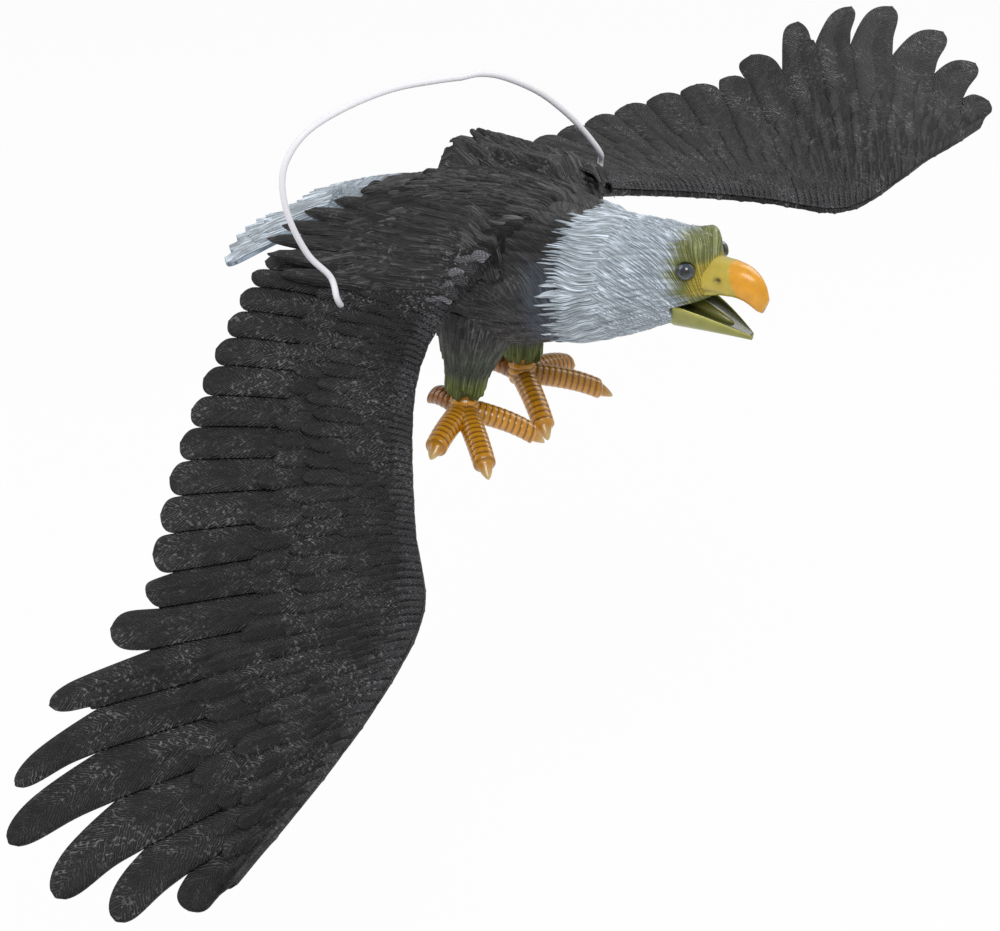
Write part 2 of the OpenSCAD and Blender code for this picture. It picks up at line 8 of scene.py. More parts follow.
import bpy
import numpy as np
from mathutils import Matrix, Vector


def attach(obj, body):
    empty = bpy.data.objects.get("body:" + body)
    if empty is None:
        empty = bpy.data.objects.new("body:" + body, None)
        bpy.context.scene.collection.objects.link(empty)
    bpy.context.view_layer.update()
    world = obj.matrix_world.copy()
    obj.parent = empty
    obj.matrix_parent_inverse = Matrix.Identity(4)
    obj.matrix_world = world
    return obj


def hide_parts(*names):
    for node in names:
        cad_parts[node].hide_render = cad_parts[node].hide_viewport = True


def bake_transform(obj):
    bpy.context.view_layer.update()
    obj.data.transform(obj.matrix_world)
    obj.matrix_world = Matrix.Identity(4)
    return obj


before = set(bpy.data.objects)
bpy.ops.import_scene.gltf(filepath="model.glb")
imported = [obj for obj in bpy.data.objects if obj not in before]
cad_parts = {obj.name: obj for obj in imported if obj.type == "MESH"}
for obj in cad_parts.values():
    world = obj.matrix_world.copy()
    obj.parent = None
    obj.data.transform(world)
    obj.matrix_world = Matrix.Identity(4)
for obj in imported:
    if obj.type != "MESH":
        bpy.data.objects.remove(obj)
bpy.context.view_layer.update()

MM = 0.001
LOOP_TOP = np.array([-14.0, 0.0, 48.0])
LEFT, RIGHT = 1, -1
SIDES = {LEFT: "left", RIGHT: "right"}

# colours, linear
COAL = np.array([0.0095, 0.0095, 0.0105])
# light of the dark wing plumage's flecks: partly dry-brushed wear, partly painted glints
COAL_WEAR_GLINT = np.array([0.26, 0.26, 0.27])
UMBER = np.array([0.030, 0.029, 0.030])
# light of the back plumage's flecks: partly dry-brushed wear, partly painted glints
UMBER_WEAR_GLINT = np.array([0.30, 0.29, 0.285])
SNOW = np.array([0.60, 0.67, 0.74])
# painted shade of the pale plumage, for its hollows and tucked edges
SNOW_SHADE = np.array([0.22, 0.28, 0.35])
STEEL = np.array([0.085, 0.10, 0.13])
OLIVE = np.array([0.21, 0.23, 0.07])
CERE = np.array([0.52, 0.40, 0.05])
ORANGE = np.array([0.74, 0.33, 0.012])
MOUTH = np.array([0.05, 0.055, 0.012])
JAW = np.array([0.27, 0.27, 0.045])
LIP = np.array([0.50, 0.47, 0.09])
MOSS = np.array([0.13, 0.16, 0.035])
SAGE = np.array([0.065, 0.075, 0.06])
OCHRE = np.array([0.62, 0.27, 0.012])
GROOVE = np.array([0.09, 0.032, 0.004])
HORN = np.array([0.62, 0.45, 0.20])
# light of the pale plumage's flecks: partly dry-brushed wear, partly painted glints
SNOW_WEAR_GLINT = np.array([0.75, 0.83, 0.9])
PUPIL = np.array([0.004, 0.005, 0.007])
IRIS = np.array([0.022, 0.04, 0.07])
WHITE = np.array([1.0, 1.0, 1.0])
CORD_SHADE, CORD_WHITE = (0.83, 0.83, 0.88, 1), (0.88, 0.88, 0.92, 1)

# camera, at the photograph's view
CAM_AIM = Vector((0.01779, 0.0, -0.16515))
CAM_AZIMUTH, CAM_ELEVATION = math.radians(33.06), math.radians(26)
CAM_DISTANCE = 1.24377
CAM_LENS, CAM_SENSOR = 108.0, 36.0


def make_camera():
    data = bpy.data.cameras.new("camera")
    data.sensor_fit = "HORIZONTAL"
    data.sensor_width, data.lens = CAM_SENSOR, CAM_LENS
    back = Vector((math.sin(CAM_AZIMUTH) * math.cos(CAM_ELEVATION),
                   -math.cos(CAM_AZIMUTH) * math.cos(CAM_ELEVATION), math.sin(CAM_ELEVATION)))
    cam = bpy.data.objects.new("camera", data)
    cam.location = CAM_AIM + CAM_DISTANCE * back
    cam.rotation_euler = back.to_track_quat("Z", "Y").to_euler()
    bpy.context.scene.collection.objects.link(cam)
    bpy.context.scene.camera = cam


make_camera()


# small helpers
def mix(a, b, t):
    return a + (b - a) * t


def ease(t):
    c = np.clip(t, 0, 1)
    return c * c * (3 - 2 * c)


def column(n):
    """n values from 0 to 1, down the rows of a grid."""
    return np.linspace(0, 1, n)[:, None]


def sweep(n):
    """n values from -1 to 1, across the columns of a grid."""
    return np.linspace(-1, 1, n)[None, :]


def circle(n):
    """n angles round the columns of a closed grid."""
    return (2 * np.pi * np.arange(n) / n)[None, :]


def xyz(x, y, z):
    return np.stack(np.broadcast_arrays(x, y, z), -1)


def rounded(q, start=0.0, power=2.0, least=0.01):
    """Width of a rounded tip: 1 as far as start, then falling to almost nothing at q = 1."""
    return np.sqrt(np.clip(1 - np.clip((q - start) / (1 - start), 0, 1) ** power, least, 1))


def edge_share(c, q, power, start):
    """0 on a feather's face, rising to 1 at its sides, c = -1 and 1, and at its tip, q = 1."""
    return np.maximum(np.abs(c) ** power + 0 * q, ease((q - start) / (1 - start)))


def leaf_plan(root, tip, q, reach):
    """Flat outline of a feather from root to tip, reach mm to the sides of its middle line."""
    root, tip = np.array(root, float), np.array(tip, float)
    way = (tip - root) / np.linalg.norm(tip - root)
    return mix(root, tip, q)[:, None, :] - reach[..., None] * np.array([-way[1], way[0]])


def signed_power(v, e):
    return np.sign(v) * np.abs(v) ** e


def curve(knots, x):
    """Smooth curve through [position, value] knots."""
    k = np.asarray(knots, float)
    p, v = k[:, 0], k[:, 1]
    slope = np.empty(len(k))
    slope[0], slope[-1] = (v[1] - v[0]) / (p[1] - p[0]), (v[-1] - v[-2]) / (p[-1] - p[-2])
    slope[1:-1] = (v[2:] - v[:-2]) / (p[2:] - p[:-2])
    i = np.clip(np.searchsorted(p, x, side="left") - 1, 0, len(k) - 2)
    h = p[i + 1] - p[i]
    t = np.clip((x - p[i]) / h, 0, 1)
    return ((2 * t**3 - 3 * t**2 + 1) * v[i] + (t**3 - 2 * t**2 + t) * slope[i] * h
            + (3 * t**2 - 2 * t**3) * v[i + 1] + (t**3 - t**2) * slope[i + 1] * h)


def rand(*keys):
    """Repeatable value from 0 to 1 for whole-number keys."""
    h = sum(np.asarray(k) * m for k, m in zip(keys, (127.1, 311.7, 74.7)))
    return np.modf(np.abs(np.sin(h) * 43758.5453))[0]


def paint(a, b, t):
    """Colour a turning into colour b as t goes from 0 to 1."""
    return mix(a, b, np.clip(t, 0, 1)[..., None])


def grid(rows, cols, ring=False, flip=False):
    r = np.arange(rows - 1)[:, None]
    c = np.arange(cols if ring else cols - 1)[None, :]
    a, b = r * cols + c, r * cols + (c + 1) % cols
    quads = np.stack([a, b, b + cols, a + cols], -1).reshape(-1, 4)
    return quads[:, ::-1] if flip else quads


def part(points, flow, tint, flip=False, ring=False):
    """One grid of points [row, column, xyz] with its flow coordinates and colours."""
    rows, cols = points.shape[:2]
    tint = np.broadcast_to(np.asarray(tint, float), points.shape)
    return {"co": points.reshape(-1, 3), "quads": grid(rows, cols, ring, flip),
            "flow": np.asarray(flow).reshape(-1, 3), "tint": tint.reshape(-1, 3)}


def capped(points, flow, tint, both=False, flip=False):
    """A ring-shaped grid closed over its last row, or over both end rows."""
    def with_ends(rows, first, last):
        return np.concatenate([first, rows, last] if both else [rows, last])

    def hub(row):
        return row.mean(axis=1, keepdims=True) + 0 * row

    return part(with_ends(points, hub(points[:1]), hub(points[-1:])),
                with_ends(flow, flow[:1], flow[-1:]), with_ends(tint, tint[:1], tint[-1:]), flip, ring=True)


def flow_of(points, seed=0.0):
    """Distance along the rows, distance across from the middle column, and a seed, for each point."""
    rows, cols = points.shape[:2]
    mid = cols // 2
    step = np.linalg.norm(np.diff(points[:, mid], axis=0), axis=1)
    along = np.concatenate([[0], np.cumsum(step)])[:, None] + np.zeros((1, cols))
    side = np.linalg.norm(np.diff(points, axis=1), axis=2)
    across = np.concatenate([np.zeros((rows, 1)), np.cumsum(side, axis=1)], axis=1)
    across = across - across[:, mid:mid + 1]
    return np.stack([along, across, np.full_like(along, seed)], -1)


def make(name, parts, material, body=None):
    """One mesh object from its parts, in metres in the part's frame."""
    start, quads = 0, []
    for p in parts:
        quads.append(p["quads"] + start)
        start += len(p["co"])
    co = (np.concatenate([p["co"] for p in parts]) - LOOP_TOP) * MM
    quads = np.concatenate(quads)
    me = bpy.data.meshes.new(name)
    me.vertices.add(len(co))
    me.vertices.foreach_set("co", co.astype(np.float32).ravel())
    me.loops.add(quads.size)
    me.loops.foreach_set("vertex_index", quads.astype(np.int32).ravel())
    me.polygons.add(len(quads))
    me.polygons.foreach_set("loop_start", np.arange(0, quads.size, 4, dtype=np.int32))
    me.polygons.foreach_set("use_smooth", np.ones(len(quads), bool))
    me.update(calc_edges=True)
    flow = me.attributes.new("flow", "FLOAT_VECTOR", "POINT")
    flow.data.foreach_set("vector", np.concatenate([p["flow"] for p in parts]).astype(np.float32).ravel())
    tint = np.concatenate([p["tint"] for p in parts])
    rgba = np.concatenate([tint, np.ones((len(tint), 1))], axis=1)
    colour = me.attributes.new("tint", "FLOAT_COLOR", "POINT")
    colour.data.foreach_set("color", rgba.astype(np.float32).ravel())
    me.validate()
    me.materials.append(material)
    obj = bpy.data.objects.new(name, me)
    bpy.context.scene.collection.objects.link(obj)
    if body:
        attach(obj, body)
    return obj


# materials
class Nodes:
    """A short way to write a material's nodes."""

    def __init__(self, name):
        self.material = bpy.data.materials.new(name)
        self.material.use_nodes = True
        self.tree = self.material.node_tree
        self.shader = self.tree.nodes["Principled BSDF"]

    def new(self, kind, **values):
        node = self.tree.nodes.new(kind)
        for k, v in values.items():
            setattr(node, k, v)
        return node

    def link(self, a, b):
        self.tree.links.new(a, b)

    def put(self, socket, value):
        if isinstance(value, bpy.types.NodeSocket):
            self.link(value, socket)
        else:
            socket.default_value = value

    def math(self, op, *values, clamp=False):
        node = self.new("ShaderNodeMath", operation=op, use_clamp=clamp)
        for socket, value in zip(node.inputs, values):
            self.put(socket, value)
        return node.outputs[0]

    def blend(self, how, factor, a, b):
        node = self.new("ShaderNodeMix", data_type="RGBA", blend_type=how)
        self.put(node.inputs[0], factor)
        self.put(node.inputs[6], a)
        self.put(node.inputs[7], b)
        return node.outputs[2]

    def attribute(self, name):
        return self.new("ShaderNodeAttribute", attribute_name=name)

    def place(self):
        return self.new("ShaderNodeTexCoord").outputs["Object"]

    def noise(self, vector, scale, detail=2.0):
        node = self.new("ShaderNodeTexNoise")
        self.put(node.inputs["Vector"], vector)
        node.inputs["Scale"].default_value = scale
        node.inputs["Detail"].default_value = detail
        return node.outputs["Fac"]

    def ramp(self, value, low, high):
        node = self.new("ShaderNodeMapRange", interpolation_type="SMOOTHSTEP")
        self.put(node.inputs["Value"], value)
        node.inputs["From Min"].default_value = low
        node.inputs["From Max"].default_value = high
        return node.outputs["Result"]

    def combine(self, x, y, z):
        node = self.new("ShaderNodeCombineXYZ")
        for socket, value in zip(node.inputs, (x, y, z)):
            self.put(socket, value)
        return node.outputs[0]

    def surface(self, values):
        for name, value in values.items():
            self.put(self.shader.inputs[name], value)

    def bump(self, height, strength, distance):
        node = self.new("ShaderNodeBump")
        node.inputs["Strength"].default_value = strength
        node.inputs["Distance"].default_value = distance
        self.link(height, node.inputs["Height"])
        self.link(node.outputs[0], self.shader.inputs["Normal"])


def feather_material(name, barbs, light, speck, rough, relief):
    """Painted plastic plumage. barbs is the spacing of slanted barbs in mm, or 0 for long strands."""
    n = Nodes(name)
    flow = n.new("ShaderNodeSeparateXYZ")
    n.link(n.attribute("flow").outputs["Vector"], flow.inputs[0])
    along, across, seed = flow.outputs

    def stretched(a, share_a, b, share_b):
        return n.combine(n.math("MULTIPLY", a, share_a), n.math("MULTIPLY", b, share_b), seed)

    wander = n.noise(stretched(along, 0.25, across, 0.25), 1.0)
    if barbs:
        phase = n.math("ADD", along, n.math("MULTIPLY", n.math("ABSOLUTE", across), -1.25))
        phase = n.math("ADD", phase, n.math("MULTIPLY", wander, 3.0 * barbs))
        lines = n.math("SINE", n.math("MULTIPLY", phase, 2 * math.pi / barbs))
        lines = n.math("MULTIPLY_ADD", lines, 0.5, 0.5)
        grain = n.noise(stretched(phase, 0.9, across, 0.35), 1.0)
    else:
        lines = n.noise(stretched(along, 0.12, across, 1.7), 1.0, 3.0)
        lines = n.ramp(lines, 0.36, 0.64)
        grain = wander
    height = n.math("MULTIPLY_ADD", grain, 0.6, lines)
    base = n.attribute("tint").outputs["Color"]
    shade = n.math("MULTIPLY_ADD", lines, 0.9, 0.5)
    colour = n.blend("MULTIPLY", 1.0, base, n.combine(shade, shade, shade))
    place = n.place()
    # light flecks and broken strokes on the barb ridges, in patches: partly dry-brushed wear, partly
    # painted glints
    patch = n.ramp(n.noise(place, 60.0, 3.0), 0.4, 0.66)
    dots = n.ramp(n.noise(place, 700.0, 3.0), 0.55, 0.7)
    strokes = n.math("MULTIPLY", n.math("POWER", lines, 4.0), n.ramp(grain, 0.4, 0.62))
    wear_and_glint = n.math("MULTIPLY", n.math("ADD", dots, n.math("MULTIPLY", strokes, 0.6)), patch)
    wear_and_glint = n.math("MULTIPLY", wear_and_glint, speck, clamp=True)
    colour = n.blend("MIX", wear_and_glint, colour, (*light, 1))
    n.surface({"Base Color": colour, "Roughness": rough, "Specular IOR Level": 0.35})
    n.bump(height, 0.9, relief * MM)
    return n.material


def paint_material(name, rough, grain, relief, coat=0.0):
    """Smooth painted plastic with a slight mottle."""
    n = Nodes(name)
    place = n.place()
    mottle = n.noise(place, grain, 4.0)
    shade = n.math("MULTIPLY_ADD", mottle, 0.5, 0.75)
    base = n.attribute("tint").outputs["Color"]
    colour = n.blend("MULTIPLY", 1.0, base, n.combine(shade, shade, shade))
    n.surface({"Base Color": colour, "Roughness": rough, "Coat Weight": coat, "Coat Roughness": 0.12})
    n.bump(mottle, 0.35, relief * MM)
    return n.material


def cord_material():
    n = Nodes("cord_white")
    place = n.place()
    fibre = n.noise(place, 900.0, 2.0)
    n.surface({"Base Color": n.blend("MIX", fibre, CORD_SHADE, CORD_WHITE), "Roughness": 0.45})
    n.bump(fibre, 0.2, 0.06 * MM)
    return n.material


WING_MAT = feather_material("wing_feather", 1.6, COAL_WEAR_GLINT, 0.6, 0.5, 0.5)
BACK_MAT = feather_material("back_strand", 0, UMBER_WEAR_GLINT, 0.4, 0.52, 0.7)
PALE_MAT = feather_material("pale_strand", 0, SNOW_WEAR_GLINT, 0.3, 0.55, 0.5)
FACE_MAT = paint_material("face_paint", 0.32, 260.0, 0.25, 0.4)
FOOT_MAT = paint_material("foot_paint", 0.28, 420.0, 0.3, 0.6)
EYE_MAT = paint_material("eye_gloss", 0.08, 300.0, 0.02, 1.0)
CORD_MAT = cord_material()

# wing, drawn flat as in the solids: x forward, u out along the arm, z up
SHOULDER_OUT, SHOULDER_UP = 28.5, -3.0
DROOP = {LEFT: math.radians(12.5), RIGHT: math.radians(36)}
ARM_TWIST = {LEFT: 0.1, RIGHT: 0.27}
TIP_TWIST = {LEFT: 0.15, RIGHT: 0.0}
TIP_TWIST_FROM, TIP_TWIST_OVER = 190.0, 110.0
SAG = {LEFT: 6.0, RIGHT: 0.0}
SAG_FROM, SAG_OVER = 10.0, 215.0
ROOT_RISE, ARM_BEND = 2.4, (-0.211, 0.00231, -0.00000316)
HAND_TWIST, CAMBER, BLADE = 0.28, 0.00145, 0.85
HAND_FROM, HAND_OVER, TWIST_FROM, TWIST_OVER = 70.0, 110.0, 14.0, 36.0
CAMBER_FROM, CAMBER_OVER = 8.0, 30.0
ARM_FEATHERS, FINGERS = 12, 7
FEATHERS = ARM_FEATHERS + FINGERS
# where the first feather lies, and how far the last lies from it
ARM_ROOTS, HAND_ROOTS = (26.0, 105.0), (144.0, 114.0)
ARM_TIPS_X, ARM_TIPS_U = (-64.5, 49.5), (39.0, 156.0)
FINGER_TIPS = np.array([[-17.0, 213], [-14, 251], [-3, 284], [9, 304], [33, 314], [53, 312], [69, 297]])
FINGER_CUTS = np.array([[-8.0, 197], [0, 214], [0, 244], [11, 259], [27, 273], [45, 284], [61, 285]])
ROOT_CUT, TIP_CUT = np.array([-48.0, 20.0]), np.array([73.0, 287.0])
ROOT_EDGE, TIP_EDGE = 10.0, 280.0
SCALLOP = 9.0
# feathers from the root within which leading-edge scales are lit up: partly wear, partly painted glints
WEAR_GLINT_FEATHERS = 1.6
LEAD = [[8, 27], [26, 19], [48, 14], [76, 21], [122, 46], [150, 65], [185, 72], [240, 75], [294, 74]]


def wing_up(side, x, u):
    twist = mix(ARM_TWIST[side], HAND_TWIST, ease((u - HAND_FROM) / HAND_OVER))
    twist = twist * ease((u - TWIST_FROM) / TWIST_OVER)
    twist = twist + TIP_TWIST[side] * ease((u - TIP_TWIST_FROM) / TIP_TWIST_OVER)
    sag = SAG[side] * np.sin(np.pi * np.clip((u - SAG_FROM) / SAG_OVER, 0, 1))
    bend = ARM_BEND[0] * u + ARM_BEND[1] * u**2 + ARM_BEND[2] * u**3
    camber = CAMBER * x * x * ease((u - CAMBER_FROM) / CAMBER_OVER)
    return ROOT_RISE - SHOULDER_UP - sag + bend - twist * x - camber


def shouldered(side, x, u, z):
    """Wing points to bird points."""
    c, s = math.cos(DROOP[side]), math.sin(DROOP[side])
    return np.stack([x, side * (SHOULDER_OUT + u * c + z * s), SHOULDER_UP + z * c - u * s], -1)


def root_out(i):
    if i < ARM_FEATHERS:
        return ARM_ROOTS[0] + ARM_ROOTS[1] * i / (ARM_FEATHERS - 1)
    return HAND_ROOTS[0] + HAND_ROOTS[1] * ((i - ARM_FEATHERS) / (FINGERS - 1)) ** 1.5


def wing_tip(i):
    if i < ARM_FEATHERS:
        a = i / (ARM_FEATHERS - 1)
        return np.array([ARM_TIPS_X[0] + ARM_TIPS_X[1] * a**2.3, ARM_TIPS_U[0] + ARM_TIPS_U[1] * a**1.24])
    return FINGER_TIPS[i - ARM_FEATHERS]


def edge_out(k):
    if k == 0:
        return ROOT_EDGE
    return TIP_EDGE if k == FEATHERS else (root_out(k - 1) + root_out(k)) / 2


TIPS = np.array([wing_tip(i) for i in range(FEATHERS)])
QUILL_ROOT = np.array([[float(curve(LEAD, root_out(i))), root_out(i)] for i in range(FEATHERS)])
EDGE_ROOT = np.array([[float(curve(LEAD, edge_out(k))), edge_out(k)] for k in range(FEATHERS + 1)])


def edge_cut(k):
    """Where the free tips of two neighbours part."""
    if k == 0:
        return ROOT_CUT
    if k == FEATHERS:
        return TIP_CUT
    if k >= ARM_FEATHERS:
        return FINGER_CUTS[k - ARM_FEATHERS]
    m = (TIPS[k - 1] + TIPS[k]) / 2
    d = EDGE_ROOT[k] - m
    return m + SCALLOP * d / np.linalg.norm(d)


EDGE_CUT = np.array([edge_cut(k) for k in range(FEATHERS + 1)])


def thick(u):
    """Swelling of the blade at its root and thinning to its tip."""
    return BLADE * (1 + 0.55 * ease((70 - u) / 60)) * mix(1, 0.7, np.clip((u - 130) / 150, 0, 1))


# heights over the wing's middle sheet, by the part of the way from leading edge to cut
CORE_TOP = [[0, 1.1], [0.04, 2.9], [0.2, 3.6], [0.35, 3.0], [0.6, 2.1], [0.75, 1.8], [1, 1.4]]
CORE_LOW = [[0, 1.1], [0.04, 2.6], [0.2, 2.7], [0.43, 2.2], [0.7, 1.7], [1, 1.3]]
GREATER_TOP = [[0, 1.2], [0.08, 3.4], [0.43, 3.3], [0.7, 3.0]]
MEDIAN_TOP = [[0, 1.6], [0.05, 3.6], [0.2, 4.4], [0.45, 4.5]]
LESSER_TOP = [[0, 1.7], [0.05, 3.8], [0.2, 4.7], [0.4, 4.7]]
MARGINAL_TOP = [[0, 1.7], [0.05, 4.0], [0.2, 4.9], [0.4, 4.9]]
UNDER_LOW = [[0, 1.2], [0.06, 3.2], [0.3, 3.1], [0.55, 2.6]]


def lie(c):
    """One feather's tilt: the inner edge tucks under, the quill stands highest."""
    return np.where(c < 0, mix(0.4, -0.55, -c), mix(0.4, 0.25, c))


def flight_feather(side, i):
    """One whole feather, top and underside, closed round its edge."""
    joined, free, cols = 40, 26, 19
    c = sweep(cols)
    f = column(joined)
    q = np.linspace(0, 1, free + 1)[1:, None]
    centre = (EDGE_CUT[i] + EDGE_CUT[i + 1]) / 2
    inner_cut, outer_cut = EDGE_CUT[i] - centre, EDGE_CUT[i + 1] - centre
    mid = mix(QUILL_ROOT[i], centre, f)[:, None, :]
    inner = mix(EDGE_ROOT[i], EDGE_CUT[i], f)[:, None, :] - mid
    outer = mix(EDGE_ROOT[i + 1], EDGE_CUT[i + 1], f)[:, None, :] - mid
    lean = np.where(c < 0, -c, c)[..., None]
    pick = (c < 0)[..., None]
    blade = mid + lean * np.where(pick, inner, outer)
    reach = TIPS[i] - centre
    bow = 0.05 * np.sin(np.pi * q) * np.array([-abs(reach[1]), -reach[0] * np.sign(reach[1])])
    blunt = rounded(q, power=4.2, least=0.004)
    slim = (1 - 0.32 * q) * rounded(q, power=6, least=0.004)
    narrow = mix(blunt, slim, ease((np.linalg.norm(reach) - 14) / 14))[..., None]
    square = np.array([-reach[1], reach[0]]) / np.linalg.norm(reach)
    cut = np.where(pick, inner_cut, outer_cut)
    turned = (cut @ square)[..., None] * square
    spread = narrow * lean * mix(cut, turned, ease(q / 0.6)[..., None])
    tip = (mix(centre, TIPS[i], q) + bow)[:, None, :] + spread
    plan = np.concatenate([blade, tip])
    x, u = plan[..., 0], plan[..., 1]
    way = np.concatenate([f, np.ones((free, 1))])
    out = np.concatenate([np.zeros((joined, 1)), q])
    up = wing_up(side, x, u)
    half = np.linalg.norm(plan - plan[:, cols // 2][:, None], axis=-1)
    quill = 0.55 * np.exp(-(half / 0.8) ** 2) * (1 - 0.6 * out)
    vane = 0.45 * (1 - (2 * np.abs(c) - 1) ** 2) * ease((way - 0.3) / 0.3)
    shade = ease(way / 0.3)
    top = up + thick(u) * curve(CORE_TOP, way) * mix(1, 0.55, out) + (lie(c) + vane + quill) * shade
    low = up - thick(u) * curve(CORE_LOW, way) * mix(1, 0.55, out) + 0.6 * lie(c) * shade - 0.7 * quill
    rim = np.abs(c) ** 6 * np.ones_like(up)
    rim = np.maximum(rim, ease((out - 0.8) / 0.2) ** 3)
    middle = (top + low) / 2
    top, low = mix(top, middle + 0.2, 0.6 * rim), mix(low, middle - 0.2, 0.6 * rim)
    upper = shouldered(side, x, u, top)
    under = shouldered(side, x, u, low)
    flow = flow_of(upper, 3.1 * i)
    tone = 0.75 + 0.5 * rand(i, side + 5)
    # darker at the feather's sides, where it tucks under its neighbours: painted shade
    edge = ease((np.abs(c) - 0.8) / 0.2)
    tint = paint(COAL * tone, COAL * 0.55, edge * np.ones_like(up))
    flip = side < 0
    return [part(upper, flow, tint, flip), part(under, flow, tint, not flip),
            rim_strip(upper, under, flow, tint, flip)]


def rim_strip(upper, under, flow, tint, flip):
    """The narrow wall between two sheets with the same outline."""
    rows, cols = upper.shape[:2]
    loop = ([(r, 0) for r in range(rows)] + [(rows - 1, c) for c in range(1, cols)]
            + [(r, cols - 1) for r in range(rows - 2, -1, -1)] + [(0, c) for c in range(cols - 2, -1, -1)])
    r, c = np.array(loop).T
    points = np.stack([upper[r, c], under[r, c]])
    return part(points, np.stack([flow[r, c]] * 2), np.stack([tint[r, c]] * 2), flip)


def on_wing(s, f):
    """Wing plan [x, u] at a place along the span, s in feathers, and along the chord, f from the front."""
    def at(table):
        return np.stack([np.interp(s, np.arange(FEATHERS + 1), axis) for axis in table.T])

    return mix(at(EDGE_ROOT), at(EDGE_CUT), f)


def covert(side, s, half, start, cut, tip, heights, face, seed, rows=26, cols=11, tilt=0.8, tone=1.0):
    """A feather of a covert row, lying on the wing's top (face 1) or underside (face -1)."""
    f = np.linspace(start, tip, rows)[:, None]
    c = sweep(cols)
    q = np.clip((f - cut) / (tip - cut), 0, 1)
    narrow = rounded(q, power=2.6)
    x, u = on_wing(np.clip(s + half * narrow * c, 0, FEATHERS), f)
    skirt = edge_share(c, q, 8, 0.86)
    grow = ease((f - start) / (tip - start) / 0.3)
    half_mm = np.hypot(x - x[:, cols // 2][:, None], u - u[:, cols // 2][:, None])
    rise = tilt * lie(c) + 0.35 * np.exp(-(half_mm / 0.7) ** 2) + 0.35 * (1 - (2 * np.abs(c) - 1) ** 2)
    z = wing_up(side, x, u) + face * (thick(u) * curve(heights, f) + grow * rise - skirt)
    points = shouldered(side, x, u, z)
    # darker on the skirt, where the feather's edge and tip tuck under: painted shade
    tint = paint(COAL * tone, COAL * 0.5, skirt)
    return part(points, flow_of(points, seed), tint, (side < 0) == (face > 0))


def covert_row(side, count, start, cut, tip, heights, face, seed, first, tilt):
    step = (FEATHERS - first) / count
    rows = []
    for j in range(count):
        s = first + step * (j + 0.5)
        tone = 0.8 + 0.7 * rand(j, seed, side + 3)
        jitter = 0.1 * (rand(j, seed + 1, side + 3) - 0.5)
        rows.append(covert(side, s, 0.58 * step, start, cut + jitter, tip + jitter, heights, face,
                           seed + 1.7 * j, tilt=tilt, tone=tone))
    return rows


# count, start, cut, tip, heights, face, seed, first feather, tilt
COVERT_ROWS = [(30, 0.04, 0.55, 0.68, GREATER_TOP, 1, 100, 0.3, 0.6),
               (34, 0.02, 0.38, 0.5, MEDIAN_TOP, 1, 200, 0.2, 0.6),
               (42, 0.0, 0.22, 0.33, LESSER_TOP, 1, 250, 0.2, 0.5),
               (21, 0.02, 0.42, 0.52, UNDER_LOW, -1, 300, 0.3, 0.8)]
# count, start
MARGINAL_ROWS = [(74, 0.0), (70, 0.035), (66, 0.075), (60, 0.12), (52, 0.17)]


def marginal_rows(side):
    """Small scale-like feathers that pave the leading edge."""
    rows = []
    for k, (count, f) in enumerate(MARGINAL_ROWS):
        for j in range(count):
            s = FEATHERS * (j + 0.5 + 0.5 * (k % 2)) / count
            grow = 0.8 + 0.5 * rand(j, k, side + 7)
            spark = rand(j, k + 9, side + 7)
            # random tone, with a few scales painted bright as glints
            tone = 2.4 if spark > 0.94 else 0.9 + 0.7 * spark
            # the outermost row painted lighter: painted reflected light along the leading edge
            tone = tone + 2.5 * (k == 0)
            # bright scales near the root: partly wear, partly painted glints
            if s < WEAR_GLINT_FEATHERS and k < 2 and spark > 0.45:
                tone = 18 * spark
            rows.append(covert(side, s, 0.5 * FEATHERS / count, f, f + 0.05 * grow, f + 0.085 * grow,
                               MARGINAL_TOP, 1, 5.0 * k + j,
                               rows=8, cols=7, tilt=0.4, tone=tone))
    return rows


# cord: each half runs from its wing hole to the top of the loop, on the solids' route
CORD_D = 2.5
KNOT_SEAT, KNOT_R, HOLE_TOP = -2.15, 3.4, 7.0
KNOT_SIZE, KNOT_STRAND_R = 0.72, 1.15
HOLE = {LEFT: (-4.0, 62.0), RIGHT: (-22.0, 49.0)}
ROUTE = {
    LEFT: [(-1, 84, -6), (-2, 71, 8), (-4, 58, 20), (-7, 44, 31), (-10, 24, 42), (-12, 10, 47),
           (-14, 0.05, 48)],
    RIGHT: [(-26, -74, -14), (-32, -80, -4), (-36, -86, 12), (-38, -87, 26), (-37, -84, 36),
            (-33, -76, 45), (-28, -58, 50), (-22, -36, 52), (-17, -14, 50), (-14, -0.05, 48)],
}


def hole_at(side, up):
    x, u = HOLE[side]
    return shouldered(side, x, u, wing_up(side, x, u) + up)


def spline(points, per):
    p = np.asarray(points, float)
    out = []
    for i in range(len(p) - 1):
        a, b, c, d = p[max(0, i - 1)], p[i], p[i + 1], p[min(len(p) - 1, i + 2)]
        for t in np.arange(per) / per:
            out.append(0.5 * (2 * b + (c - a) * t + (2 * a - 5 * b + 4 * c - d) * t**2
                              + (3 * b - a - 3 * c + d) * t**3))
    return np.array(out + [p[-1]])


def tube(path, radius, sides, seed=0.0, tint=(1, 1, 1)):
    """A round tube on a path, with frames carried along so that it doesn't twist."""
    way = np.gradient(path, axis=0)
    way /= np.linalg.norm(way, axis=1)[:, None]
    a = np.cross(way[0], [1.0, 0.3, 0.01])
    rings = []
    for p, w, r in zip(path, way, np.broadcast_to(radius, len(path))):
        a = a - w * (a @ w)
        a = a / np.linalg.norm(a)
        b = np.cross(w, a)
        t = 2 * np.pi * np.arange(sides) / sides
        rings.append(p + r * (np.cos(t)[:, None] * a + np.sin(t)[:, None] * b))
    points = np.array(rings)
    along = np.concatenate([[0], np.cumsum(np.linalg.norm(np.diff(path, axis=0), axis=1))])
    flow = xyz(along[:, None], np.arange(sides)[None, :] * 2 * np.pi / sides, seed)
    return part(points, flow, tint, ring=True)


